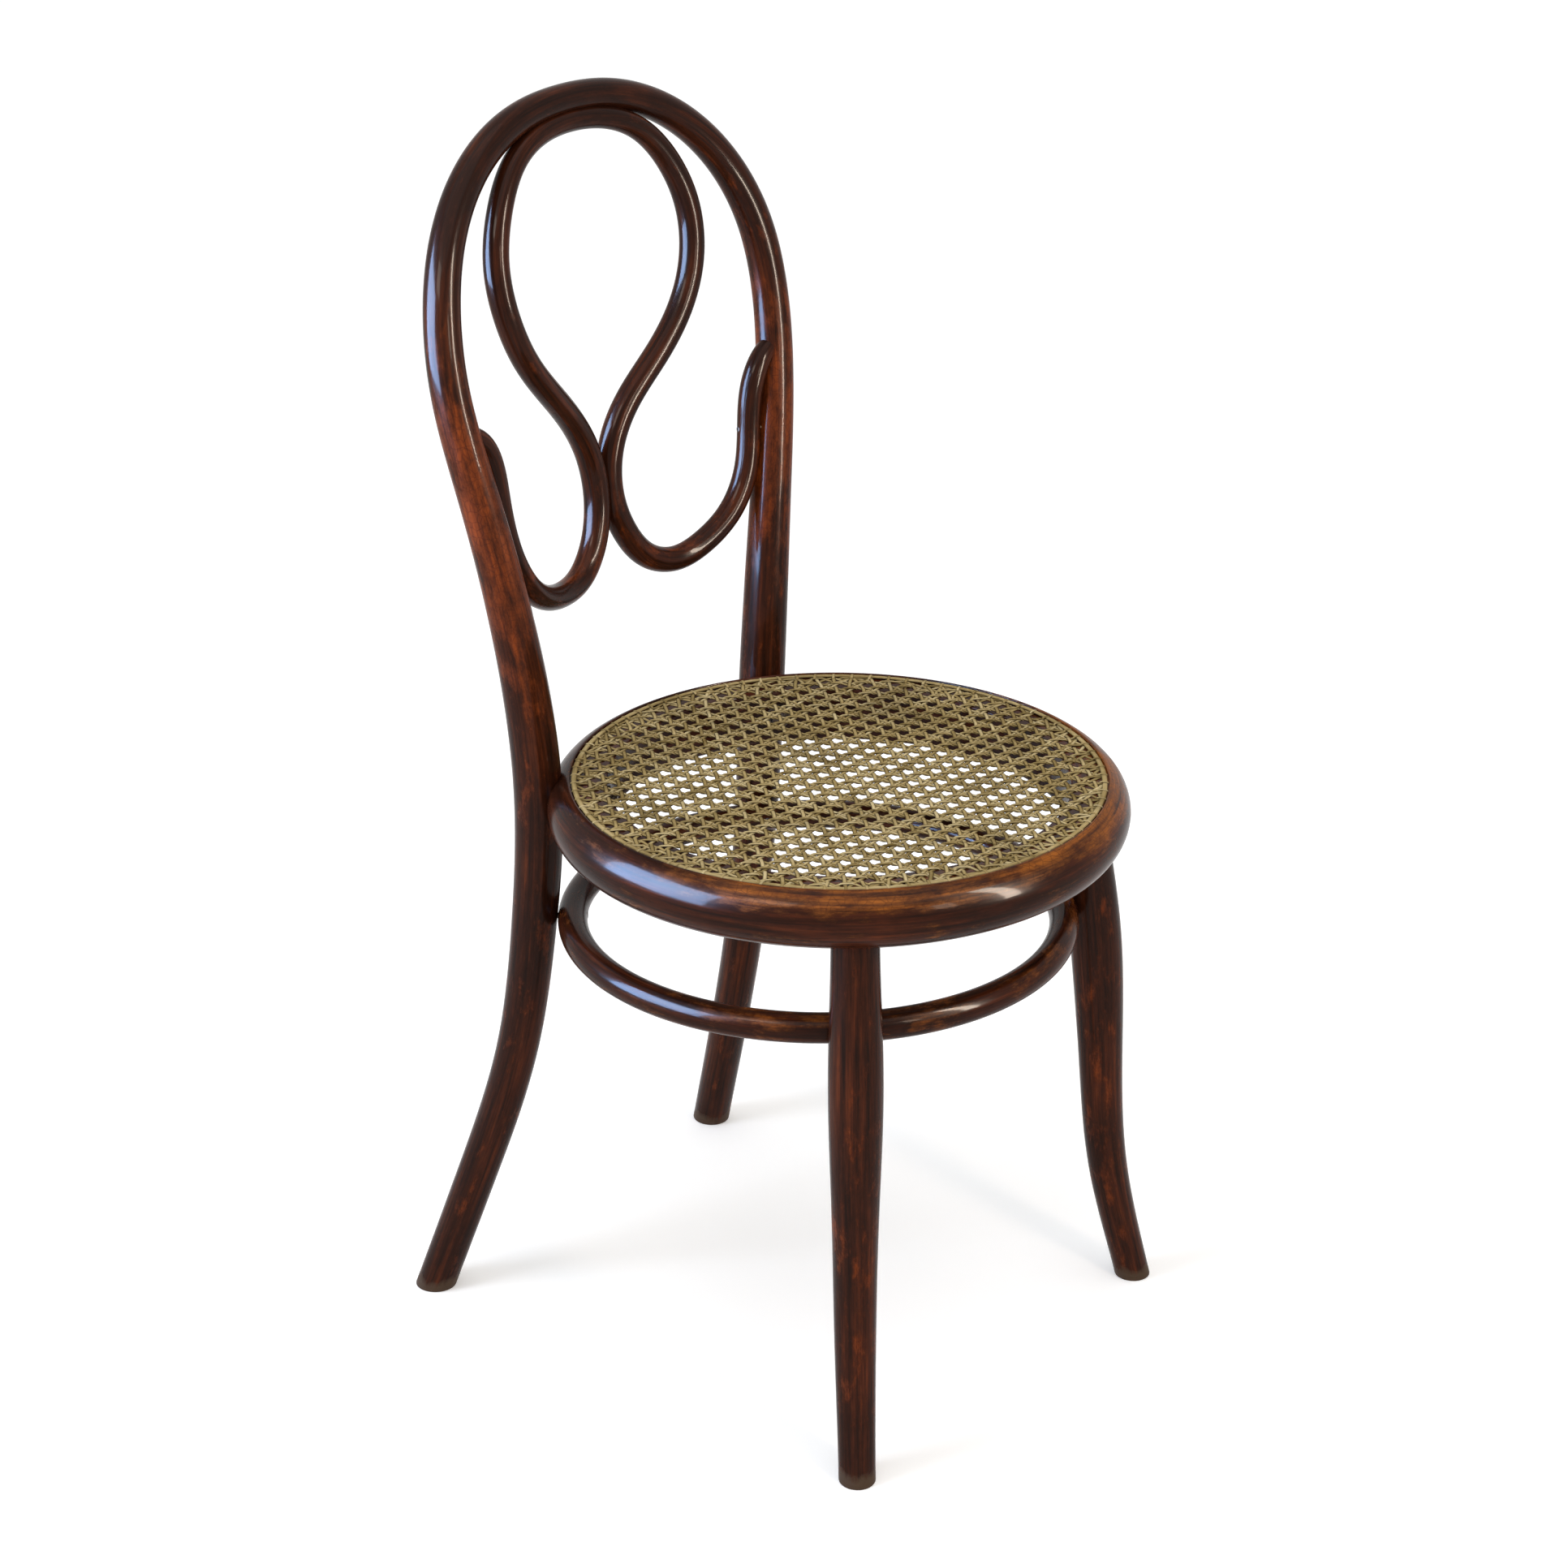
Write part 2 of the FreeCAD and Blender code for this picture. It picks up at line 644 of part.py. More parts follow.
def make_seat_ring():
    """The bent seat ring with its ledge, cane holes, leg sockets and coach screw holes."""
    body = new_body("seat_ring")
    sketch = sketch_on(body, "SeatRingProfile", "XZ_Plane")
    seat_profile(sketch, 0.0, 1.0)
    ring = revolve(body, sketch, "SeatRingBend")
    lower = rounding(body, "SeatRingUnderside", ring, "@seat_bottom_rounding",
                     size("seat_inner_radius"), seat_bottom)
    rounding(body, "SeatRingLip", lower, "@seat_lip_rounding", size("seat_inner_radius"), ledge_height)
    hole = drill(body, "CaneHole", Vector(cane_hole_circle, 0, ledge_height), Vector(0, 0, -1),
                 "@cane_hole_radius", size("cane_hole_depth"))
    pattern = body.newObject("PartDesign::PolarPattern", "CaneHoles")
    pattern.Originals = [hole]
    pattern.Axis = (origin_item(body, "Z_Axis"), [""])
    pattern.Angle = 360.0
    pattern.setExpression("Occurrences", "Sizes.cane_hole_count")
    body.Tip = pattern
    doc.recompute()
    for side in (1, -1):
        socket = polar(front_leg_reach, side * size("front_leg_angle"), seat_bottom)
        depth = size("tenon_length") + size("tenon_clearance")
        drill(body, "LegSocket", socket, Vector(0, 0, 1), "@tenon_radius + @tenon_clearance", depth)
    for side in coach_directions:
        drill(body, "CoachHole", coach_start(side), coach_directions[side], coach_hole_rule,
              coach_length + size("screw_clearance"))
    return label(body, "seat_ring")


def seat_ring_cutter():
    """The seat ring's outside, larger by the joint gap, to cope the legs and stiles to it."""
    body = new_body("SeatRingCutter")
    sketch = sketch_on(body, "SeatRingCutterProfile", "XZ_Plane")
    seat_profile(sketch, size("joint_gap"), CUTTER_INNER_SHARE)
    revolve(body, sketch, "SeatRingCutterBend")
    return body.Shape


# Cane panel, binder, ties and pegs

def gap_outline(x, y, height):
    """One gap of the weave: a square with its corners cut off."""
    half = size("cane_gap_width") / 2
    cut = half - size("cane_gap_corner")
    corners = [(half, cut), (cut, half), (-cut, half), (-half, cut),
               (-half, -cut), (-cut, -half), (cut, -half), (half, -cut)]
    points = [Vector(x + dx, y + dy, height) for dx, dy in corners]
    return Part.makePolygon(points + points[:1])


def make_cane_seat():
    """The cane panel as a flat net, with every second gap of the weave in a chequer."""
    outer = size("ledge_radius") - size("cane_edge_gap")
    reach = binder_inner - size("cane_rim_margin")
    pitch = 2.0 * math.pi * cane_hole_circle / size("cane_hole_count")
    rows = int(reach / pitch)
    gaps = []
    for row in range(-rows, rows + 1):
        for column in range(-rows, rows + 1):
            inside = math.hypot(row, column) * pitch < reach
            if inside and (row + column) % 2 == 0:
                gaps.append(gap_outline(column * pitch, row * pitch, ledge_height))
    rim = Part.Wire(Part.Circle(Vector(0, 0, ledge_height), Vector(0, 0, 1), outer).toShape())
    net = Part.makeFace([rim] + gaps, "Part::FaceMakerBullseye")
    print("gaps in the cane panel", len(gaps))
    return shaped("cane_seat", net.extrude(Vector(0, 0, size("cane_thickness"))))


def make_cane_binder():
    """The wide strip of cane that covers the holes, with its upper edges bevelled."""
    body = new_body("cane_binder")
    sketch = sketch_on(body, "BinderProfile", "XZ_Plane")
    low = size("seat_height")
    high = low + size("binder_thickness")
    bevel = low + size("binder_thickness") / 2
    outer = "@ledge_radius - @binder_gap"
    inner = outer + " - @binder_width"
    quarter = size("binder_thickness") / 2
    polyline(sketch, [
        (binder_inner, low, inner, "@seat_height"),
        (binder_outer, low, outer, "@seat_height"),
        (binder_outer, bevel, outer, "@seat_height + @binder_thickness / 2"),
        (binder_outer - quarter, high, outer + " - @binder_thickness / 2", "@seat_height + @binder_thickness"),
        (binder_inner + quarter, high, inner + " + @binder_thickness / 2", "@seat_height + @binder_thickness"),
        (binder_inner, bevel, inner, "@seat_height + @binder_thickness / 2"),
    ])
    revolve(body, sketch, "BinderStrip")
    return label(body, "cane_binder")


def around_the_holes(piece):
    """One copy of a piece for each cane hole."""
    count = int(size("cane_hole_count"))
    copies = []
    for index in range(count):
        copy = piece.copy()
        copy.rotate(Vector(), Vector(0, 0, 1), 360.0 * index / count)
        copies.append(copy)
    return Part.makeCompound(copies)


def make_binder_ties():
    """The short loops of cane over the binder, one at each hole, down to the panel on both sides."""
    slack = size("tie_clearance")
    skin = size("tie_thickness")
    width = size("tie_width")
    inside = binder_inner - slack
    length = size("binder_width") + 2 * slack
    height = size("binder_thickness") + slack
    outer = Part.makeBox(length + 2 * skin, width, height + skin,
                         Vector(inside - skin, -width / 2, size("seat_height")))
    hollow = Part.makeBox(length, width, height, Vector(inside, -width / 2, size("seat_height")))
    return shaped("cane_binder_ties", around_the_holes(outer.cut(hollow)))


def make_cane_pegs():
    """The pegs that lock the cane in its holes."""
    radius = size("cane_hole_radius") - size("peg_clearance")
    foot = ledge_height - size("cane_hole_depth") + size("peg_clearance")
    peg = Part.makeCylinder(radius, size("peg_length"), Vector(cane_hole_circle, 0, foot))
    return shaped("cane_pegs", around_the_holes(peg))


# Bent rods

def make_front_legs(seat_cutter, ring_cutter):
    """Both front legs, coped to the seat ring, with a tenon above and a notch for the leg ring."""
    last = len(front_leg.parameters) - 1
    blank = above_floor(front_leg.solid(0, last, LEG_SIDE))
    box = blank.BoundBox
    waste = Part.makeBox(box.XLength, box.YLength, CUTTER_REACH, Vector(box.XMin, box.YMin, ledge_height))
    blank = blank.cut(waste).cut(ring_cutter)
    blank = max(blank.cut(seat_cutter).Solids, key=lambda solid: solid.Volume)
    root = polar(front_leg_reach, size("front_leg_angle"), seat_bottom)
    tenon = Part.makeCylinder(size("tenon_radius"), size("tenon_length") + CUTTER_REACH,
                              root - Vector(0, 0, CUTTER_REACH))
    right = blank.fuse(tenon).removeSplitter()
    left = right.mirror(Vector(), Vector(1, 0, 0))
    for side, shape in (("right", right), ("left", left)):
        for screw in ring_screws:
            if screw.name.endswith("front_" + side):
                shape = screw.hole(shape)
        shaped("front_leg_" + side, shape)


def make_back_frame(seat_cutter, ring_cutter):
    """Both rear legs and the hoop, notched for the seat ring, bored for every screw."""
    last = len(back_frame.parameters) - 1
    shape = above_floor(back_frame.solid(0, last, FRAME_SIDE))
    shape = shape.cut(seat_cutter).cut(ring_cutter)
    for side in coach_directions:
        shape = bored(shape, coach_start(side), coach_directions[side], coach_hole_radius,
                      coach_length + size("screw_clearance"))
    for screw in ring_screws + end_screws + [top_screw]:
        if "front" not in screw.name:
            shape = bored(shape, screw.seat, screw.direction,
                          size("screw_shank_radius") + size("screw_clearance"),
                          size(screw.length_alias) + size("screw_clearance"))
    return shaped("back_frame", shape)


def make_back_loop():
    """The inner loop, coped to the back frame, with flats where its two passes meet."""
    clasp = back_loop.centre(back_loop.parameters[len(LOOP_END) + list(LOOP_BODY).index("clasp")])
    beyond = Part.makeBox(CUTTER_REACH, 2 * CUTTER_REACH, 4 * CUTTER_REACH,
                          clasp + Vector(-clasp.x - CUTTER_REACH + size("clasp_gap") / 2,
                                         -CUTTER_REACH, -2 * CUTTER_REACH))
    cutter = back_frame.solid(1, CROWN_STATION + 1, FRAME_SIDE, size("joint_gap"))
    across = (Vector(), Vector(1, 0, 0))
    sides = ((0, LOOP_TOP_STATION, beyond, cutter),
             (LOOP_TOP_STATION, LOOP_LAST_STATION, beyond.mirror(*across), cutter.mirror(*across)))
    halves = []
    for first, last, other_side, frame in sides:
        pieces = back_loop.solid(first, last, FRAME_SIDE).cut(other_side).cut(frame)
        half = max(pieces.Solids, key=lambda solid: solid.Volume)
        half.fix(*HEALING)
        halves.append(half)
    shape = halves[0].fuse(halves[1]).removeSplitter()
    for screw in end_screws + [top_screw, middle_screw]:
        shape = screw.hole(shape)
    return shaped("back_loop", shape)


def make_leg_ring():
    """The round hoop between the legs, bored for its four screws."""
    body = new_body("leg_ring")
    sketch = sketch_on(body, "LegRingSection", "XZ_Plane")
    sketch.addGeometry(Part.Circle(Vector(leg_ring_radius, size("leg_ring_height"), 0), Vector(0, 0, 1),
                                   size("leg_ring_rod_radius")), False)
    radius = sketch.addConstraint(Sketcher.Constraint("Radius", 0, size("leg_ring_rod_radius")))
    sketch.setExpression("Constraints[%d]" % radius, "Sizes.leg_ring_rod_radius")
    sketch.addConstraint(Sketcher.Constraint("DistanceX", -1, 1, 0, 3, leg_ring_radius))
    distance(sketch, "DistanceY", 0, 3, "@leg_ring_height")
    revolve(body, sketch, "LegRingBend")
    shift = Vector(0, leg_ring_centre.y, 0)
    for screw in ring_screws:
        start = screw.seat - shift
        drill(body, "ScrewHole", start, screw.direction, "@screw_shank_radius + @screw_clearance",
              size(screw.length_alias))
        drill(body, "Spotface", start, screw.direction * -1,
              "@screw_head_radius + @spotface_clearance", size("screw_head_height"))
    body.Placement.Base = shift
    return label(body, "leg_ring")


def leg_ring_cutter():
    """The leg ring, larger by the joint gap, to notch the legs for it."""
    ring = Part.makeTorus(leg_ring_radius, size("leg_ring_rod_radius") + size("joint_gap"))
    ring.translate(leg_ring_centre)
    return ring


# Fasteners

def make_wood_screw(screw):
    """A slotted round-headed wood screw: its axis is local Z, its head's seat at zero."""
    body = new_body(screw.name)
    sketch = sketch_on(body, screw.name + "_profile", "XZ_Plane")
    head = size("screw_head_radius")
    rise = size("screw_head_height")
    shank = size("screw_shank_radius")
    length = size(screw.length_alias)
    shoulder = length - size("screw_point_length")
    long_rule = "@" + screw.length_alias
    polyline(sketch, [
        (0, -rise, "0 mm", "-@screw_head_height"),
        (head * 0.55, -rise * 0.88, "@screw_head_radius * 0.55", "-@screw_head_height * 0.88"),
        (head * 0.9, -rise * 0.5, "@screw_head_radius * 0.9", "-@screw_head_height * 0.5"),
        (head, 0, "@screw_head_radius", "0 mm"),
        (shank, 0, "@screw_shank_radius", "0 mm"),
        (shank, shoulder, "@screw_shank_radius", long_rule + " - @screw_point_length"),
        (0, length, "0 mm", long_rule),
    ])
    revolve(body, sketch, screw.name + "_turned")
    slot = body.newObject("PartDesign::SubtractiveBox", screw.name + "_slot")
    slot.AttachmentSupport = (origin_item(body, "XY_Plane"), "")
    slot.MapMode = "FlatFace"
    slot.AttachmentOffset.Base = Vector(-head, -size("screw_slot_width") / 2, -rise)
    slot.setExpression("Length", "Sizes.screw_head_radius * 2")
    slot.setExpression("Width", "Sizes.screw_slot_width")
    slot.setExpression("Height", "Sizes.screw_slot_depth")
    doc.recompute()
    body.Placement = FreeCAD.Placement(screw.seat, FreeCAD.Rotation(Vector(0, 0, 1), screw.direction))
    return label(body, screw.name)


def make_coach_screw(side):
    """A coach screw with a hexagonal head, from inside the seat ring into the stile."""
    name = "seat_coach_screw_" + side
    head_corner = size("coach_head_flats") / math.sqrt(3.0)
    head = doc.addObject("Part::Prism", name + "_head")
    head.Polygon = 6
    head.setExpression("Circumradius", "Sizes.coach_head_flats / sqrt(3)")
    head.setExpression("Height", "Sizes.coach_head_height")
    head.Placement.Base = Vector(0, 0, -size("coach_head_height"))
    shank = doc.addObject("Part::Cylinder", name + "_shank")
    shank.setExpression("Radius", "Sizes.coach_shank_radius")
    shank.setExpression("Height", sheet_rule(coach_length_rule + " - @coach_shank_radius"))
    point = doc.addObject("Part::Cone", name + "_point")
    point.setExpression("Radius1", "Sizes.coach_shank_radius")
    point.Radius2 = 0.0
    point.setExpression("Height", "Sizes.coach_shank_radius")
    point.Placement.Base = Vector(0, 0, coach_length - size("coach_shank_radius"))
    whole = doc.addObject("Part::MultiFuse", name)
    whole.Shapes = [head, shank, point]
    doc.recompute()
    whole.Placement = FreeCAD.Placement(coach_start(side),
                                        FreeCAD.Rotation(Vector(0, 0, 1), coach_directions[side]))
    return label(whole, name)


def make_washer(side):
    """The washer under a coach screw's head, its rim against the ring's inner face."""
    name = "seat_washer_" + side
    disc = doc.addObject("Part::Cylinder", name + "_disc")
    disc.setExpression("Radius", "Sizes.washer_radius")
    disc.setExpression("Height", "Sizes.washer_thickness")
    hole = doc.addObject("Part::Cylinder", name + "_hole")
    hole.setExpression("Radius", sheet_rule(coach_hole_rule))
    hole.setExpression("Height", "Sizes.washer_thickness")
    washer = doc.addObject("Part::Cut", name)
    washer.Base = disc
    washer.Tool = hole
    doc.recompute()
    washer.Placement = FreeCAD.Placement(coach_start(side),
                                         FreeCAD.Rotation(Vector(0, 0, 1), coach_directions[side]))
    return label(washer, name)


def make_all():
    """Build every sub-part about the middle of the seat."""
    make_seat_ring()
    make_cane_seat()
    make_cane_binder()
    make_binder_ties()
    make_cane_pegs()
    seat_cutter = seat_ring_cutter()
    ring_cutter = leg_ring_cutter()
    make_front_legs(seat_cutter, ring_cutter)
    make_back_frame(seat_cutter, ring_cutter)
    make_back_loop()
    make_leg_ring()
    for screw in ring_screws + end_screws + [top_screw, middle_screw]:
        make_wood_screw(screw)
    for side in coach_directions:
        make_coach_screw(side)
        make_washer(side)


def move_to_origin():
    """Shift every sub-part along Y, so that the origin is under the middle of the whole box."""
    boxes = [part.Shape.optimalBoundingBox(False) for part in SUBPARTS]
    low = min(box.YMin for box in boxes)
    high = max(box.YMax for box in boxes)
    shift = FreeCAD.Placement(Vector(0, -(low + high) / 2, 0), FreeCAD.Rotation())
    for part in SUBPARTS:
        part.Placement = shift.multiply(part.Placement)
    doc.recompute()
    print("seat centre at y = %.3f" % shift.Base.y)


def check_document():
    """Stop if any object failed, or a sub-part has no valid shape."""
    for item in doc.Objects:
        if "Invalid" in item.State or "Error" in item.State:
            raise RuntimeError("%s failed: %s" % (item.Name, item.State))
    for part in SUBPARTS:
        if part.Shape.isNull() or not part.Shape.isValid() or not part.Shape.Solids:
            raise RuntimeError("%s has no valid solid" % part.Label)


def export_parts():
    """Write one STEP file for each sub-part."""
    os.makedirs("parts", exist_ok=True)
    for part in SUBPARTS:
        part.Shape.exportStep("parts/%s.step" % part.Label)
        print("%-28s solids %3d  volume %10.1f" % (part.Label, len(part.Shape.Solids), part.Shape.Volume))


make_all()
move_to_origin()
check_document()
export_parts()
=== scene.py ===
"""Bentwood bistro chair with a hand-woven cane seat: the looks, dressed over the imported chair.

Lengths are metres in the chair's own frame: the floor is z = 0, the front faces -Y and the
origin lies under the middle of the chair. Sizes that a bender or a caner would give in
millimetres are written so and turned to metres with MM.
"""
import logging
import math
from dataclasses import dataclass, field
from enum import Enum
from typing import Any, Sequence

import bpy
import numpy as np
from mathutils import Matrix, Vector


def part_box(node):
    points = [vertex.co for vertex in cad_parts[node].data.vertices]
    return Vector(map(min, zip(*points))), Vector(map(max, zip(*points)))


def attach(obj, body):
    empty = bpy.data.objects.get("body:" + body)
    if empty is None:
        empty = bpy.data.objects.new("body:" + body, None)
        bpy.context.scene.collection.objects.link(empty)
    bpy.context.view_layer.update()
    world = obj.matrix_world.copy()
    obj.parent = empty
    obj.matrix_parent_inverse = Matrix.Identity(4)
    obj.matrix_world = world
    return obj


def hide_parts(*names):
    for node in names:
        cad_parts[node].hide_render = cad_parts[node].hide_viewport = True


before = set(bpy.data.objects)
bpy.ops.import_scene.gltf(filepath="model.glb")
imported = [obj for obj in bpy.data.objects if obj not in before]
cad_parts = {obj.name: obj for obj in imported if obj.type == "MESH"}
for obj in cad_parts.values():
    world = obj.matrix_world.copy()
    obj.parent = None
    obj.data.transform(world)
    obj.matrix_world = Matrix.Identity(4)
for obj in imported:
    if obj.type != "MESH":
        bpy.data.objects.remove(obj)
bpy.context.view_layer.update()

log = logging.getLogger("bentwood_chair")

MM = 0.001
BODY = "root"
Array = np.ndarray


class Slot(Enum):
    """Two material slot names, bentwood and cane, that new pieces are passed with but that nothing reads.
    """

    BENTWOOD = "bentwood"
    CANE = "cane"


class Side(Enum):
    """The two sides of the chair, as the sign of X."""

    RIGHT = 1
    LEFT = -1


# Small tools for materials

def linear(hex_colour: str) -> tuple[float, float, float, float]:
    """Turn an sRGB hex colour into linear RGBA.

    Each channel c becomes c / 12.92 where it is dark, and ((c + 0.055) / 1.055) ** 2.4 elsewhere.

    Args:
        hex_colour: A colour such as "#4a2819".

    Returns:
        Red, green, blue and an alpha of 1.
    """
    channels = [int(hex_colour[start:start + 2], 16) / 255 for start in (1, 3, 5)]
    values = [c / 12.92 if c <= 0.04045 else ((c + 0.055) / 1.055) ** 2.4 for c in channels]
    return (*values, 1.0)


def per_mm(millimetres: float) -> float:
    """The texture scale at which one cell of a pattern is this wide."""
    return 1.0 / (millimetres * MM)


def add_node(tree: bpy.types.NodeTree, kind: str, settings: dict[str, Any] | None = None,
             inputs: dict[Any, Any] | None = None,
             stops: Sequence[tuple[float, tuple]] | None = None) -> bpy.types.Node:
    """Add a node with its settings, its constant or linked inputs and its ramp stops.

    Args:
        tree: The node tree to add to.
        kind: The node's type name.
        settings: Properties of the node itself.
        inputs: Values or output sockets, by the name or number of the input.
        stops: Positions and colours, on a colour ramp.

    Returns:
        The new node.
    """
    node = tree.nodes.new(kind)
    for name, value in (settings or {}).items():
        setattr(node, name, value)
    for socket, value in (inputs or {}).items():
        if isinstance(value, bpy.types.NodeSocket):
            tree.links.new(value, node.inputs[socket])
        else:
            node.inputs[socket].default_value = value
    for index, (position, colour) in enumerate(stops or ()):
        elements = node.color_ramp.elements
        element = elements[index] if index < len(elements) else elements.new(position)
        element.position = position
        element.color = colour
    return node


def weighted(tree: bpy.types.NodeTree, start: float,
             *parts: tuple[bpy.types.NodeSocket, float]) -> bpy.types.NodeSocket:
    """Add patterns up: start + pattern * share + the next pattern * its share, and so on.

    Args:
        tree: The material's tree.
        start: The number to start from.
        parts: Each pattern with its share.

    Returns:
        The sum.
    """
    total = start
    for pattern, share in parts:
        total = add_node(tree, "ShaderNodeMath", {"operation": "MULTIPLY_ADD"}, {
            0: pattern, 1: share, 2: total,
        }).outputs["Value"]
    return total


def layered(tree: bpy.types.NodeTree, base: bpy.types.NodeSocket,
            *layers: tuple[bpy.types.NodeSocket, Any]) -> bpy.types.NodeSocket:
    """Lay colours over one another.

    Args:
        tree: The material's tree.
        base: The colour underneath.
        layers: Each layer's share, from 0 to 1, with its colour, the lowest first.

    Returns:
        The colour that is seen.
    """
    colour = base
    for share, over in layers:
        colour = add_node(tree, "ShaderNodeMix", {"data_type": "RGBA"}, {
            0: share, 6: colour, 7: over,
        }).outputs[2]
    return colour


def new_material(name: str) -> tuple[bpy.types.Material, bpy.types.NodeTree]:
    """Make an empty node material.

    Args:
        name: The material's name.

    Returns:
        The material and its tree.
    """
    material = bpy.data.materials.new(name)
    material.use_nodes = True
    material.node_tree.nodes.clear()
    return material, material.node_tree


def finish_surface(tree: bpy.types.NodeTree, inputs: dict[Any, Any]) -> None:
    """Close a material with a Principled BSDF that has these values and sockets as its inputs."""
    shader = add_node(tree, "ShaderNodeBsdfPrincipled", inputs=inputs)
    add_node(tree, "ShaderNodeOutputMaterial", inputs={"Surface": shader.outputs["BSDF"]})


# Finishes

@dataclass(frozen=True)
class StainedBeech:
    """Steam-bent beech, stained dark walnut and finished with shellac.

    The stain lies in long streaks along the bent grain, with the short dark flecks of beech.
    The shellac gives a clear, slightly wavy gloss. Where hands and clothes rub, it is thin,
    warmer and crackled, and golden on the hoops. The feet are scuffed down to greyed wood.
    Widths are in millimetres, and a stretch below 1 draws a pattern out along the grain.
    """

    name: str = "beech_walnut_stain_shellac"
    dark: str = "#200f08"
    body: str = "#431f10"
    light: str = "#643018"
    worn: str = "#944418"
    worn_dark: str = "#59260d"
    gold: str = "#a05c1e"
    gold_dark: str = "#4c270c"
    scuffed: str = "#4b3a2c"
    streak_width: float = 3.5
    streak_stretch: float = 0.035
    fleck_width: float = 1.6
    fleck_stretch: float = 0.13
    cloud_width: float = 30.0
    wear_width: float = 15.0
    crackle_width: float = 6.5
    brush_width: float = 16.0
    brush_stretch: float = 0.35
    patch_stretch: float = 0.38
    gloss_roughness: float = 0.12

    def material(self) -> bpy.types.Material:
        """Build the node material, which reads straight, wear, scuff and gold from the piece.

        Returns:
            The material.
        """
        material, tree = new_material(self.name)
        straight = add_node(tree, "ShaderNodeAttribute", {"attribute_name": "straight"}).outputs["Vector"]
        wear, scuff, gold = (
            add_node(tree, "ShaderNodeAttribute", {"attribute_name": name}).outputs["Fac"]
            for name in ("wear", "scuff", "gold"))
        streaks = self._grain(tree, straight, self.streak_width, self.streak_stretch, 6.0)
        brush = self._grain(tree, straight, self.brush_width, self.brush_stretch, 1.0)
        clouds = self._grain(tree, straight, self.cloud_width, self.patch_stretch, 5.0, 0.66)
        patches = self._grain(tree, straight, self.wear_width, self.patch_stretch, 8.0, 0.70)
        # Thin shellac and bare wood: the piece's own wear and scuffs, broken up by patches
        worn = self._mask(tree, wear, patches, 1.9, 0.36, 0.92)
        rubbed = self._mask(tree, scuff, patches, 1.2, 0.40, 0.80)

        stain = add_node(tree, "ShaderNodeValToRGB", inputs={"Fac": streaks}, stops=[
            (0.34, linear(self.dark)), (0.55, linear(self.body)), (0.74, linear(self.light)),
        ]).outputs["Color"]
        thin, golden = (
            add_node(tree, "ShaderNodeValToRGB", inputs={"Fac": streaks}, stops=[
                (0.36, linear(shade)), (0.64, linear(tone)),
            ]).outputs["Color"]
            for shade, tone in ((self.worn_dark, self.worn), (self.gold_dark, self.gold)))
        cloud_depth, fleck_depth, crack_depth, gold_share = self._depths(tree, straight, clouds, worn, gold)
        dark = linear(self.dark)
        colour = layered(
            tree, layered(tree, stain, (cloud_depth, dark)),
            (worn, layered(tree, thin, (gold_share, golden))), (crack_depth, dark),
            (fleck_depth, dark), (rubbed, linear(self.scuffed)))

        # Gloss where the shellac is whole, duller with the clouds, wear and scuffs
        rough = weighted(tree, self.gloss_roughness, (clouds, 0.22), (worn, 0.14), (rubbed, 0.3))
        waves = add_node(tree, "ShaderNodeBump", inputs={
            "Height": brush, "Strength": 0.30, "Distance": 0.9 * MM,
        }).outputs["Normal"]
        grain = add_node(tree, "ShaderNodeBump", inputs={
            "Height": streaks, "Strength": 0.35, "Distance": 0.35 * MM, "Normal": waves,
        }).outputs["Normal"]
        finish_surface(tree, {
            "Base Color": colour, "Roughness": rough, "Normal": grain, "Coat Normal": waves,
            "IOR": 1.45, "Specular IOR Level": 0.05, "Coat Weight": 0.07, "Coat Roughness": 0.07,
            "Coat IOR": 1.5,
        })
        return material

    def _depths(self, tree: bpy.types.NodeTree, straight: bpy.types.NodeSocket,
                clouds: bpy.types.NodeSocket, worn: bpy.types.NodeSocket,
                gold: bpy.types.NodeSocket) -> tuple[bpy.types.NodeSocket, ...]:
        """How strongly each mark shows.

        Args:
            tree: The material's tree.
            straight: The wood's own coordinates.
            clouds: The clouds in the stain.
            worn: Where the shellac is thin; only there it has crackled.
            gold: How golden the piece is worn.

        Returns:
            The shares of clouds, flecks, cracks and gold, from 0 to 1.
        """
        cloud_depth = add_node(tree, "ShaderNodeMapRange", inputs={
            "Value": clouds, "From Min": 0.40, "From Max": 0.60, "To Min": 0.0, "To Max": 0.82,
        }).outputs["Result"]
        flecks = self._grain(tree, straight, self.fleck_width, self.fleck_stretch, 2.0)
        fleck_depth = add_node(tree, "ShaderNodeMapRange", inputs={
            "Value": flecks, "From Min": 0.57, "From Max": 0.70, "To Min": 0.0, "To Max": 0.4,
        }).outputs["Result"]
        place = add_node(tree, "ShaderNodeTexCoord").outputs["Object"]
        cracks = add_node(tree, "ShaderNodeTexVoronoi", {"feature": "DISTANCE_TO_EDGE"}, {
            "Vector": place, "Scale": per_mm(self.crackle_width), "Randomness": 1.0,
        }).outputs["Distance"]
        near_crack = add_node(tree, "ShaderNodeMapRange", inputs={
            "Value": cracks, "From Min": 0.0, "From Max": 0.07, "To Min": 0.5, "To Max": 0.0,
        }).outputs["Result"]
        crack_depth = add_node(tree, "ShaderNodeMath", {"operation": "MULTIPLY"}, {
            0: near_crack, 1: worn,
        }).outputs["Value"]
        gold_share = add_node(tree, "ShaderNodeMapRange", {"interpolation_type": "SMOOTHSTEP"}, {
            "Value": gold, "From Min": 0.0, "From Max": 1.0,
        }).outputs["Result"]
        return cloud_depth, fleck_depth, crack_depth, gold_share

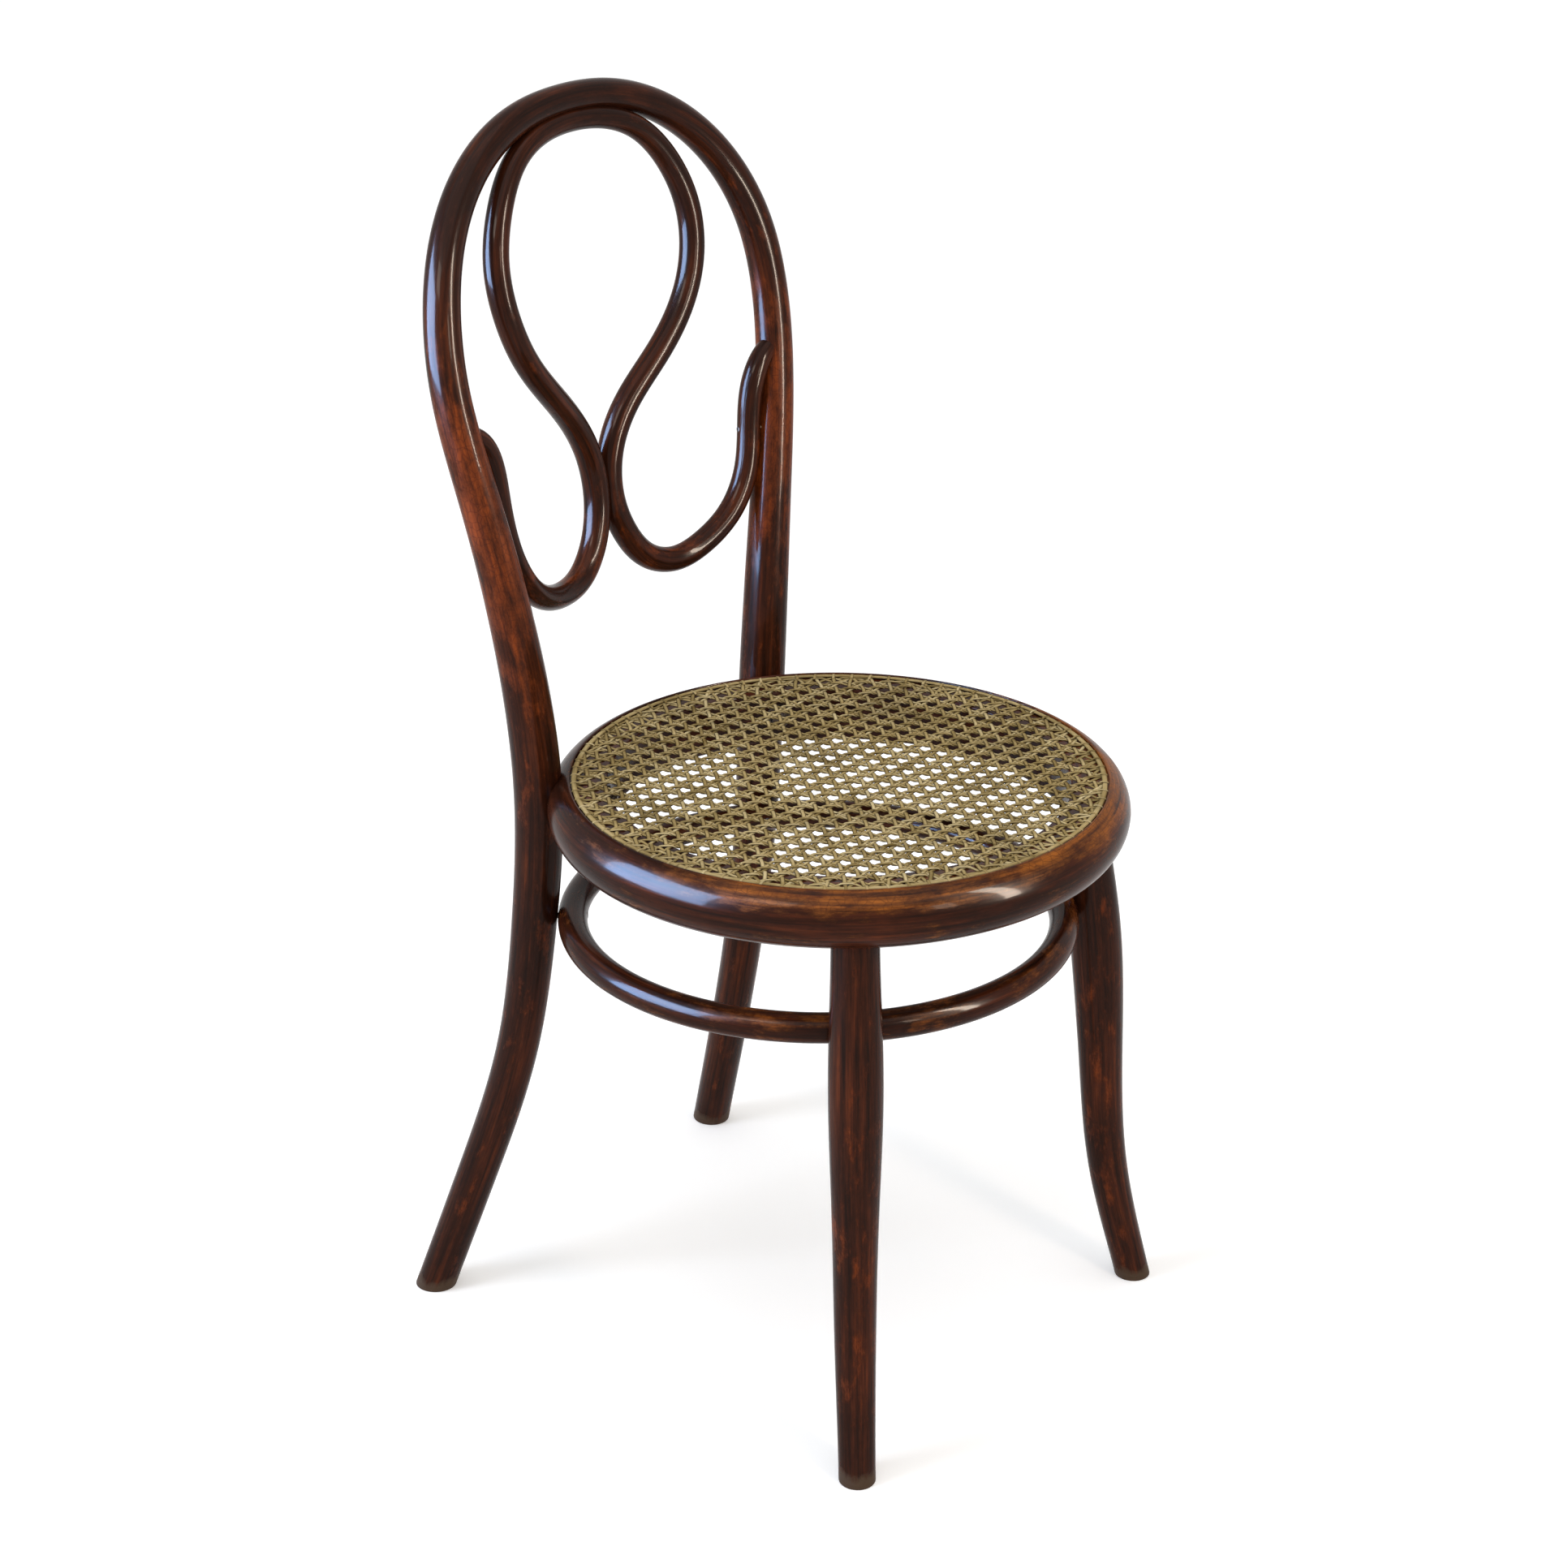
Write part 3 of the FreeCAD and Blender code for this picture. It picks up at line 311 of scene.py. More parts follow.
    def _grain(self, tree: bpy.types.NodeTree, straight: bpy.types.NodeSocket, width: float,
               stretch: float, detail: float, roughness: float = 0.6) -> bpy.types.NodeSocket:
        """Noise drawn out along the rod's own grain.

        Args:
            tree: The material's tree.
            straight: The wood's own coordinates.
            width: How wide the pattern is, in millimetres.
            stretch: The pattern's scale along the grain, as a share of that across it.
            detail: How many finer octaves it has.
            roughness: How strong they are.

        Returns:
            The noise, from 0 to 1.
        """
        drawn = add_node(tree, "ShaderNodeVectorMath", {"operation": "MULTIPLY"}, {
            0: straight, 1: (1.0, 1.0, stretch),
        }).outputs["Vector"]
        return add_node(tree, "ShaderNodeTexNoise", inputs={
            "Vector": drawn, "Scale": per_mm(width), "Detail": detail, "Roughness": roughness,
        }).outputs["Fac"]

    def _mask(self, tree: bpy.types.NodeTree, amount: bpy.types.NodeSocket,
              patches: bpy.types.NodeSocket, spread: float, low: float,
              high: float) -> bpy.types.NodeSocket:
        """A patchy mask: amount + spread * (patches - 1/2), eased from 0 at low to 1 at high.

        Args:
            tree: The material's tree.
            amount: How much there is of it on the piece.
            patches: The noise that breaks it up.
            spread: How strongly it does.
            low: Where the mask begins.
            high: Where it is full.

        Returns:
            The mask, from 0 to 1.
        """
        total = weighted(tree, -spread / 2, (patches, spread), (amount, 1.0))
        return add_node(tree, "ShaderNodeMapRange", {"interpolation_type": "SMOOTHSTEP"}, {
            "Value": total, "From Min": low, "From Max": high,
        }).outputs["Result"]


@dataclass(frozen=True)
class AgedCane:
    """Split rattan cane, woven by hand and darkened with age.

    Its skin is straw-coloured and goes from honey to brown from strand to strand, with dark
    scars at the plant's nodes and painted shade along both edges, where strands meet and lie
    under one another. Age has taken its shine, so it has no specular layer. Widths are in millimetres.
    """

    name: str = "rattan_cane_aged"
    # A dark brown: the painted shade along the strands' edges, and also the colour of the stains and node
    # scars
    shadow: str = "#2e210f"
    brown: str = "#6b582f"
    straw: str = "#ab9666"
    pale: str = "#dccb9e"
    node_spacing: float = 210.0
    scar_width: float = 1.3
    stain_width: float = 52.0
    fibre_width: float = 0.8
    stretch_width: float = 38.0
    half_width: float = 1.7

    def material(self) -> bpy.types.Material:
        """Build the node material, which reads skin and tint from the strands.

        Returns:
            The material.
        """
        material, tree = new_material(self.name)
        skin = add_node(tree, "ShaderNodeAttribute", {"attribute_name": "skin"}).outputs["Vector"]
        tint = add_node(tree, "ShaderNodeAttribute", {"attribute_name": "tint"}).outputs["Fac"]
        parts = add_node(tree, "ShaderNodeSeparateXYZ", inputs={"Vector": skin}).outputs
        fibre = add_node(tree, "ShaderNodeVectorMath", {"operation": "MULTIPLY"}, {
            0: skin, 1: (1.0, 1.0, 0.03),
        }).outputs["Vector"]
        fibres = add_node(tree, "ShaderNodeTexNoise", inputs={
            "Vector": fibre, "Scale": per_mm(self.fibre_width), "Detail": 3.0, "Roughness": 0.6,
        }).outputs["Fac"]
        stretches = add_node(tree, "ShaderNodeTexNoise", inputs={
            "Vector": skin, "Scale": per_mm(self.stretch_width), "Detail": 4.0, "Roughness": 0.65,
        }).outputs["Fac"]
        tone = weighted(tree, -0.12, (stretches, 0.75), (tint, 0.30), (fibres, 0.24))
        straw = add_node(tree, "ShaderNodeValToRGB", inputs={"Fac": tone}, stops=[
            (0.22, linear(self.brown)), (0.52, linear(self.straw)), (0.86, linear(self.pale)),
        ]).outputs["Color"]
        # Painted shade along both edges, where strands meet: how far across the strand a point lies, from 0
        # to 1
        across = add_node(tree, "ShaderNodeMath", {"operation": "ABSOLUTE"}, {0: parts["X"]})
        edge_shade = add_node(tree, "ShaderNodeMapRange", inputs={
            "Value": across.outputs["Value"], "From Min": 0.35 * self.half_width * MM,
            "From Max": self.half_width * MM, "To Min": 0.0, "To Max": 1.0,
        }).outputs["Result"]
        # Stains: broad brown clouds over the whole seat
        place = add_node(tree, "ShaderNodeTexCoord").outputs["Object"]
        clouds = add_node(tree, "ShaderNodeTexNoise", inputs={
            "Vector": place, "Scale": per_mm(self.stain_width), "Detail": 5.0, "Roughness": 0.6,
        }).outputs["Fac"]
        stain = add_node(tree, "ShaderNodeMapRange", inputs={
            "Value": clouds, "From Min": 0.48, "From Max": 0.68, "To Min": 0.0, "To Max": 0.36,
        }).outputs["Result"]
        # Node scars: a narrow dark band wherever the length along the cane comes round again
        round_again = add_node(tree, "ShaderNodeMath", {"operation": "PINGPONG"}, {
            0: parts["Z"], 1: self.node_spacing / 2 * MM,
        }).outputs["Value"]
        scar = add_node(tree, "ShaderNodeMapRange", inputs={
            "Value": round_again, "From Min": 0.0, "From Max": self.scar_width * MM,
            "To Min": 0.7, "To Max": 0.0,
        }).outputs["Result"]
        shadow = linear(self.shadow)
        # Painted shade along the edges first, then the real stains and node scars, all in the same dark
        # brown
        colour = layered(tree, straw, (edge_shade, shadow), (stain, shadow), (scar, shadow))
        rough = add_node(tree, "ShaderNodeMapRange", inputs={
            "Value": stretches, "From Min": 0.3, "From Max": 0.7, "To Min": 0.36, "To Max": 0.52,
        }).outputs["Result"]
        fine = add_node(tree, "ShaderNodeBump", inputs={
            "Height": fibres, "Strength": 0.4, "Distance": 0.12 * MM,
        }).outputs["Normal"]
        finish_surface(tree, {
            "Base Color": colour, "Roughness": rough, "Normal": fine, "Specular IOR Level": 0.0,
        })
        return material


@dataclass(frozen=True)
class AgedSteel:
    """Plain steel screws, forged and turned, and dulled brown with age."""

    name: str = "steel_turned_aged"
    steel: str = "#57504a"
    tarnish: str = "#2c201a"
    spot_width: float = 1.8

    def material(self) -> bpy.types.Material:
        """Build the node material on Object coordinates.

        Returns:
            The material.
        """
        material, tree = new_material(self.name)
        place = add_node(tree, "ShaderNodeTexCoord").outputs["Object"]
        spots = add_node(tree, "ShaderNodeTexNoise", inputs={
            "Vector": place, "Scale": per_mm(self.spot_width), "Detail": 5.0, "Roughness": 0.65,
        }).outputs["Fac"]
        colour = add_node(tree, "ShaderNodeValToRGB", inputs={"Fac": spots}, stops=[
            (0.40, linear(self.steel)), (0.62, linear(self.tarnish)),
        ]).outputs["Color"]
        rough = add_node(tree, "ShaderNodeMapRange", inputs={
            "Value": spots, "From Min": 0.35, "From Max": 0.65, "To Min": 0.48, "To Max": 0.70,
        }).outputs["Result"]
        pitted = add_node(tree, "ShaderNodeBump", inputs={
            "Height": spots, "Strength": 0.4, "Distance": 0.15 * MM,
        }).outputs["Normal"]
        finish_surface(tree, {
            "Base Color": colour, "Roughness": rough, "Normal": pitted, "Metallic": 1.0,
        })
        return material


@dataclass(frozen=True)
class WhittledPeg:
    """Softwood pegs, split and whittled, pale and dry, with a straight fine grain."""

    name: str = "softwood_peg_whittled"
    early: str = "#b08d5c"
    late: str = "#7c5a34"
    ring_width: float = 0.7

    def material(self) -> bpy.types.Material:
        """Build the node material on Object coordinates, its grain upright.

        Returns:
            The material.
        """
        material, tree = new_material(self.name)
        place = add_node(tree, "ShaderNodeTexCoord").outputs["Object"]
        upright = add_node(tree, "ShaderNodeMapping", inputs={
            "Vector": place, "Scale": (1.0, 1.0, 0.06),
        }).outputs["Vector"]
        rings = add_node(tree, "ShaderNodeTexNoise", inputs={
            "Vector": upright, "Scale": per_mm(self.ring_width), "Detail": 3.0,
        }).outputs["Fac"]
        colour = add_node(tree, "ShaderNodeValToRGB", inputs={"Fac": rings}, stops=[
            (0.40, linear(self.early)), (0.60, linear(self.late)),
        ]).outputs["Color"]
        split = add_node(tree, "ShaderNodeBump", inputs={
            "Height": rings, "Strength": 0.4, "Distance": 0.1 * MM,
        }).outputs["Normal"]
        finish_surface(tree, {"Base Color": colour, "Normal": split, "Roughness": 0.75})
        return material


# Surfaces worked out on grids

class Skin:
    """Collects the grids of one piece's surface, with the values that its finish reads."""

    def __init__(self) -> None:
        """Start with no grids."""
        self.points: list[Array] = []
        self.faces: list[Array] = []
        self.values: dict[str, list[Array]] = {}
        self.count = 0

    def add(self, points: Array, values: dict[str, Array], closed_rows: bool = False,
            closed_columns: bool = True, poles: bool = False) -> None:
        """Add one grid, whose faces point along (next column) x (next row).

        A closed direction repeats its first line as its last, and the two are one in the mesh,
        while the values keep both. With poles, each of the first and last rows is one point.

        Args:
            points: Rows by columns by 3, in metres.
            values: Rows by columns, or rows by columns by 3, for each named value.
            closed_rows: Whether the last row lies on the first.
            closed_columns: Whether the last column lies on the first.
            poles: Whether the first and last rows have shrunk to points.
        """
        rows, columns = points.shape[:2]
        row, column = np.meshgrid(np.arange(rows), np.arange(columns), indexing="ij")
        own = row * columns + column
        kept_row = np.where(closed_rows & (row == rows - 1), 0, row)
        kept_column = np.where(closed_columns & (column == columns - 1), 0, column)
        if poles:
            kept_column = np.where((row == 0) | (row == rows - 1), 0, kept_column)
        welded = (kept_row * columns + kept_column).ravel()
        corner = own[:-1, :-1].ravel()
        quads = np.stack([corner, corner + 1, corner + columns + 1, corner + columns], axis=1)
        self.points.append(points.reshape(-1, 3))
        self.faces.append(np.stack([quads, welded[quads]]) + self.count)
        for name, value in values.items():
            self.values.setdefault(name, []).append(value.reshape(rows * columns, -1))
        self.count += rows * columns

    def piece(self, name: str, material: bpy.types.Material, sharp: float = 40.0) -> bpy.types.Object:
        """Make the mesh: quads, and triangles where a quad has shrunk at a pole.

        Args:
            name: The piece's name.
            material: Its finish.
            sharp: Edges that turn by more than this many degrees stay sharp.

        Returns:
            The finished object, at the origin.
        """
        points = np.concatenate(self.points)
        own, welded = np.concatenate(self.faces, axis=1)
        first_shrunk = welded[:, 0] == welded[:, 1]
        last_shrunk = welded[:, 2] == welded[:, 3]
        whole = ~(first_shrunk | last_shrunk)
        keep = np.ones(welded.shape, dtype=bool)
        keep[first_shrunk, 0] = False
        keep[last_shrunk, 3] = False
        used, corners = np.unique(welded[keep], return_inverse=True)
        totals = np.where(whole, 4, 3)
        starts = np.concatenate([[0], np.cumsum(totals)[:-1]])
        mesh = bpy.data.meshes.new(name)
        mesh.vertices.add(len(used))
        mesh.vertices.foreach_set("co", points[used].astype(np.float32).ravel())
        mesh.loops.add(len(corners))
        mesh.loops.foreach_set("vertex_index", corners.astype(np.int32).ravel())
        mesh.polygons.add(len(totals))
        mesh.polygons.foreach_set("loop_start", starts.astype(np.int32))
        mesh.update(calc_edges=True)
        for value_name, arrays in self.values.items():
            value = np.concatenate(arrays)[own[keep]].astype(np.float32)
            kind, member = ("FLOAT_VECTOR", "vector") if value.shape[1] == 3 else ("FLOAT", "value")
            attribute = mesh.attributes.new(value_name, kind, "CORNER")
            attribute.data.foreach_set(member, value.ravel())
        mesh.materials.append(material)
        mesh.shade_smooth()
        mesh.set_sharp_from_angle(angle=math.radians(sharp))
        if mesh.validate():
            log.warning("%s: the mesh had faults, which were mended", name)
        piece = bpy.data.objects.new(name, mesh)
        bpy.context.scene.collection.objects.link(piece)
        return piece


def stand_for(piece: bpy.types.Object, slot: Slot, *nodes: str) -> bpy.types.Object:
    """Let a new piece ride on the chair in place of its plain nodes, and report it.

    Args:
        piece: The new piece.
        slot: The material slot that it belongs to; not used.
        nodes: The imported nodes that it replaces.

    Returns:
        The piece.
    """
    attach(piece, BODY)
    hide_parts(*nodes)
    log.info("%s: %d faces for %s", piece.name, len(piece.data.polygons), ", ".join(nodes))
    return piece


def bell(value: Array, middle: float, width: float) -> Array:
    """A smooth hump of height 1: exp(-((value - middle) / width) ** 2)."""
    return np.exp(-((value - middle) / width) ** 2)


def ease(value: Array, low: float, high: float) -> Array:
    """0 below low, 1 above high, and 3 t ** 2 - 2 t ** 3 between them."""
    share = np.clip((value - low) / (high - low), 0.0, 1.0)
    return share * share * (3.0 - 2.0 * share)


def unit(rows: Array) -> Array:
    """Rows of x, y, z, each brought to a length of 1."""
    return rows / np.linalg.norm(rows, axis=1, keepdims=True)


def carried(line: Array, sideways: Array, above: Array, profile: Array) -> Array:
    """Carry a profile of rows (across, up) along a line: line + across * sideways + up * above."""
    return line[:, None, :] + profile[None, :, :1] * sideways[:, None, :] \
        + profile[None, :, 1:] * above[:, None, :]


class BentRod:
    """A bent rod: a smooth line through stations, with a round section that swells and thins.

    The line is a cubic in each span, with no jump in direction or bend at a station. Its
    parameter is the sum of the straight distances between stations.
    """

    AROUND = 40
    STEP = 4.0 * MM
    LEVELLING = 60.0 * MM

    def __init__(self, stations: Array, radii: Array) -> None:
        """Lay the line and the radius through the stations.

        Args:
            stations: One row of x, y, z for each station.
            radii: The rod's radius at each station.
        """
        gaps = np.linalg.norm(np.diff(stations, axis=0), axis=1)
        self.knots = np.concatenate([[0.0], np.cumsum(gaps)])
        self.heights = np.column_stack([stations, radii])
        self.slopes = self._slopes()

    def _slopes(self) -> Array:
        """Slopes at the stations.

        Inside, the bend is the same on both sides of a station. At each end, the slope is that
        of the cubic through the last four stations.

        Returns:
            The slope of x, y, z and radius at each station.
        """
        count = len(self.knots)
        gaps = np.diff(self.knots)
        rise = np.diff(self.heights, axis=0) / gaps[:, None]
        matrix = np.eye(count)
        target = np.zeros_like(self.heights)
        inner = np.arange(1, count - 1)
        matrix[inner, inner - 1] = gaps[1:]
        matrix[inner, inner] = 2.0 * (gaps[:-1] + gaps[1:])
        matrix[inner, inner + 1] = gaps[:-1]
        target[inner] = 3.0 * (gaps[1:, None] * rise[:-1] + gaps[:-1, None] * rise[1:])
        for end, near in ((0, slice(0, 4)), (count - 1, slice(count - 4, count))):
            powers = np.vander(self.knots[near] - self.knots[end], 4, increasing=True)
            target[end] = np.linalg.solve(powers, self.heights[near])[1]
        return np.linalg.solve(matrix, target)

    def at(self, along: Array) -> tuple[Array, Array, Array]:
        """The centre, unit direction and radius at places along the rod.

        With t the share of a span and d its length, a value is
        (2t^3 - 3t^2 + 1) h0 + (t^3 - 2t^2 + t) d s0 + (3t^2 - 2t^3) h1 + (t^3 - t^2) d s1.

        Args:
            along: The places, in the line's own parameter.

        Returns:
            The centres, the directions and the radii.
        """
        span = np.clip(np.searchsorted(self.knots, along, side="right") - 1, 0, len(self.knots) - 2)
        length = (self.knots[span + 1] - self.knots[span])[:, None]
        t = (along - self.knots[span])[:, None] / length
        h0, h1 = self.heights[span], self.heights[span + 1]
        s0, s1 = self.slopes[span] * length, self.slopes[span + 1] * length
        value = (2 * t ** 3 - 3 * t ** 2 + 1) * h0 + (t ** 3 - 2 * t ** 2 + t) * s0 \
            + (3 * t ** 2 - 2 * t ** 3) * h1 + (t ** 3 - t ** 2) * s1
        slope = (6 * t ** 2 - 6 * t) * (h0 - h1) + (3 * t ** 2 - 4 * t + 1) * s0 \
            + (3 * t ** 2 - 2 * t) * s1
        return value[:, :3], unit(slope[:, :3]), value[:, 3]

    def along_at_height(self, height: float, first: int, last: int) -> float:
        """Find where the line passes a height.

        Args:
            height: The height.
            first: The station after which it lies.
            last: The station before which it lies; between the two the line only rises.

        Returns:
            The place, in the line's own parameter.
        """
        along = np.linspace(self.knots[first], self.knots[last], 4001)
        levels = self.at(along)[0][:, 2]
        order = np.argsort(levels)
        return float(np.interp(height, levels[order], along[order]))

    def tube(self, start: float, end: float, side: Array, flat_start: bool = False,
             flat_end: bool = False, edge: float = 1.2 * MM) -> tuple[Array, Array]:
        """The rod's surface from one pole to the other, with eased edges at both ends.

        Each section is a circle square to the line, its start turned towards side. Near a flat
        end the section is sheared along the line until it lies level.

        Args:
            start: Where along the rod the surface begins.
            end: Where it ends.
            side: The direction that each section's start is turned to.
            flat_start: Whether the rod stands level on its start.
            flat_end: Whether it stands level on its end.
            edge: The radius of the eased edge.

        Returns:
            The points, and the same points in the straight rod before it was bent.
        """
        steps = round((end - start - 2 * edge) / self.STEP)
        middle = np.linspace(start + edge, end - edge, steps + 1)
        quarter = np.radians([0.0, 30.0, 60.0])
        lift = edge * (1.0 - np.cos(quarter))
        inset = edge * (1.0 - np.sin(quarter))
        along = np.concatenate([[start, start], start + lift, middle, end - lift[::-1], [end, end]])
        centre, direction, radius = self.at(along)
        share = np.ones(len(along))
        share[[0, -1]] = 0.0
        share[[1, -2]] = 0.5
        shrink = np.zeros(len(along))
        shrink[2:5] = inset
        shrink[-5:-2] = inset[::-1]
        width = (radius - shrink) * share
        sideways = unit(side - direction * (direction @ side)[:, None])
        across = np.cross(direction, sideways)
        angle = np.linspace(0.0, 2 * math.pi, self.AROUND + 1)
        offset = width[:, None, None] * (np.cos(angle)[None, :, None] * sideways[:, None, :]
                                         + np.sin(angle)[None, :, None] * across[:, None, :])
        level = np.zeros(len(along))
        if flat_start:
            level = np.maximum(level, 1.0 - ease(along - start, 0.0, self.LEVELLING))
        if flat_end:
            level = np.maximum(level, 1.0 - ease(end - along, 0.0, self.LEVELLING))
        rise = np.where(np.abs(direction[:, 2]) > 0.2, direction[:, 2], 1.0)
        slide = -(level / rise)[:, None] * offset[:, :, 2]
        offset = offset + slide[:, :, None] * direction[:, None, :]
        points = centre[:, None, :] + offset
        straight = np.stack([width[:, None] * np.cos(angle), width[:, None] * np.sin(angle),
                             along[:, None] + slide], axis=2)
        return points, straight


@dataclass
class WornRod:
    """How one bent piece is rubbed: the values that the stained beech reads."""

    base: float = 0.30
    gold: float = 0.0

    def values(self, straight: Array, wear: Array, scuff: Array | None = None) -> dict[str, Array]:
        """The named values of a grid: wood coordinates, wear, scuffs and how golden the wear is.

        Args:
            straight: Points in the straight rod before it was bent.
            wear: How thin the shellac is, from 0 to 1.
            scuff: How far the wood is rubbed bare, from 0 to 1.

        Returns:
            The values by name.
        """
        rubbed = np.zeros(wear.shape) if scuff is None else scuff
        return {"straight": straight, "wear": self.base + wear, "scuff": rubbed,
                "gold": np.full(wear.shape, self.gold)}


def foot_scuff(points: Array) -> Array:
    """Scuffs at a foot: full at the floor, and gone 26 mm up."""
    return 0.9 - 0.9 * ease(points[:, :, 2], 0.0, 26.0 * MM)


def standing_wear(height: Array, rubbed: tuple, sound: tuple) -> Array:
    """The wear of a standing rod: strength * bell for each rubbed stretch, less strength * ease.

    Args:
        height: Each point's height.
        rubbed: The strength, height and spread of each stretch that hands or feet rub.
        sound: The strength at which the shellac is sounder higher up, the height where that
            begins and the height where it is full.

    Returns:
        The wear.
    """
    strength, low, high = sound
    worn = sum(share * bell(height, middle, spread) for share, middle, spread in rubbed)
    return worn - strength * ease(height, low, high)


# Sub-assemblies

@dataclass
class SeatPlan:
    """Where the seat is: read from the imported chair, for everything that is laid out about it."""

    axis_depth: float = 0.0
    outer_radius: float = 0.0
    top: float = 0.0
    bottom: float = 0.0
    edge_height: float = 0.0
    edge_radius: float = 24.4 * MM

    @classmethod
    def from_frame(cls) -> "SeatPlan":
        """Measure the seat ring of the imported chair.

        Returns:
            The plan, in metres.
        """
        low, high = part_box("seat_ring")
        plan = cls((low.y + high.y) / 2, (high.x - low.x) / 2, high.z, low.z)
        plan.edge_height = plan.bottom + plan.edge_radius
        return plan

    def shifted(self, stations: Array) -> Array:
        """Move stations laid out about the seat's axis to the chair's frame."""
        return stations + np.array([0.0, self.axis_depth, 0.0])

    def polar(self, reach: float, degrees: float, height: float) -> Array:
        """The point at this reach from the seat's axis, turned to the right from straight ahead."""
        angle = math.radians(degrees)
        return np.array([reach * math.sin(angle), -reach * math.cos(angle), height])


def mirrored(half: Array) -> Array:
    """Follow a half outline back on the other side.

    Args:
        half: Its stations, the last one in the middle plane.

    Returns:
        The stations of both halves.
    """
    other = half[-2::-1].copy()
    other[:, 0] *= -1.0
    return np.concatenate([half, other])


@dataclass
class BackFrame:
    """Both rear legs, the stiles and the hoop: one rod, bent from foot to foot.

    Each station of the legs and stiles is its outward splay and backward rake from the seat
    joint and the rod's radius, at even quarters of the height below and above the joint.
    """

    seat: SeatPlan
    joint_angle: float = 143.3
    joint_housing: float = 10.8
    leg: tuple = ((40.7, 88.2, 15.4), (22.8, 53.6, 15.7), (7.2, 23.2, 16.2), (1.6, 6.7, 17.4),
                  (0.0, 0.0, 18.4))
    stile: tuple = ((7.5, 1.5, 17.7), (20.9, 7.1, 16.3), (37.3, 16.3, 15.1), (48.0, 31.3, 14.2))
    shoulder_height: float = 765.0
    crown_height: float = 934.0
    crown_rake: float = 80.2
    crown_radius: float = 11.3
    arch_exponent: float = 2.17
    arch_angles: tuple = (14.0, 30.0, 45.0, 60.0, 75.0, 90.0)
    rubbed: tuple = ((0.43, 0.66, 0.12), (0.04, 0.25, 0.17))
    sound: tuple = (0.16, 0.80, 0.90)
    rod: BentRod = field(init=False)
    middle: int = field(init=False)

    def __post_init__(self) -> None:
        """Lay the rod's line: legs, stiles and a superellipse arch that leans ever further back."""
        seat = self.seat
        reach = seat.outer_radius + (self.leg[-1][2] - self.joint_housing) * MM
        joint = seat.polar(reach, self.joint_angle, seat.edge_height)
        stations = np.array(self.leg + self.stile) * MM
        radii = stations[:, 2].copy()
        lower = seat.edge_height * np.arange(5) / 4
        upper = seat.edge_height + (self.shoulder_height * MM - seat.edge_height) * np.arange(1, 5) / 4
        half = np.column_stack([joint[0] + stations[:, 0], joint[1] + stations[:, 1],
                                np.concatenate([lower, upper])])
        shoulder, chest = half[-1], half[-2]
        rise = self.crown_height * MM - shoulder[2]
        lean = joint[1] + self.crown_rake * MM - shoulder[1]
        start_lean = (shoulder[1] - chest[1]) / (shoulder[2] - chest[2]) * rise / lean
        angle = np.radians(self.arch_angles)
        power = 2.0 / self.arch_exponent
        climbed = np.sin(angle) ** power
        width = np.abs(np.cos(angle)) ** power
        width[-1] = 0.0
        leaned = start_lean * climbed + (1.0 - start_lean) * climbed ** 2
        arch = np.column_stack([shoulder[0] * width, shoulder[1] + lean * leaned,
                                shoulder[2] + rise * climbed])
        share = angle / (math.pi / 2)
        arch_radii = radii[-1] * (1.0 - share) + self.crown_radius * MM * share
        below = half[0] + (half[0] - half[1]) / 4
        half = seat.shifted(np.vstack([below, half, arch]))
        radii = np.concatenate([[radii[0]], radii, arch_radii])
        self.rod = BentRod(mirrored(half), np.concatenate([radii, radii[-2::-1]]))
        self.middle = len(half) - 1

    def stile_at(self, height: float) -> Array:
        """The centre of the right stile at a height."""
        along = self.rod.along_at_height(height, 0, self.middle)
        return self.rod.at(np.array([along]))[0][0]

    def crown(self) -> Array:
        """The centre of the hoop at its top."""
        return self.rod.at(self.rod.knots[[self.middle]])[0][0]

    def build(self, finish: bpy.types.Material) -> bpy.types.Object:
        """Build the rod from foot to foot, more worn where hands and backs touch it.

        Args:
            finish: The stained beech.

        Returns:
            The finished piece.
        """
        start = self.rod.along_at_height(0.0, 0, self.middle)
        end = self.rod.knots[-1] - start
        points, straight = self.rod.tube(start, end, np.array([0.0, 1.0, 0.0]), True, True)
        wear = standing_wear(points[:, :, 2], self.rubbed, self.sound)
        skin = Skin()
        skin.add(points, WornRod().values(straight, wear, foot_scuff(points)), poles=True)
        return stand_for(skin.piece("back_hoop", finish), Slot.BENTWOOD, "back_frame")


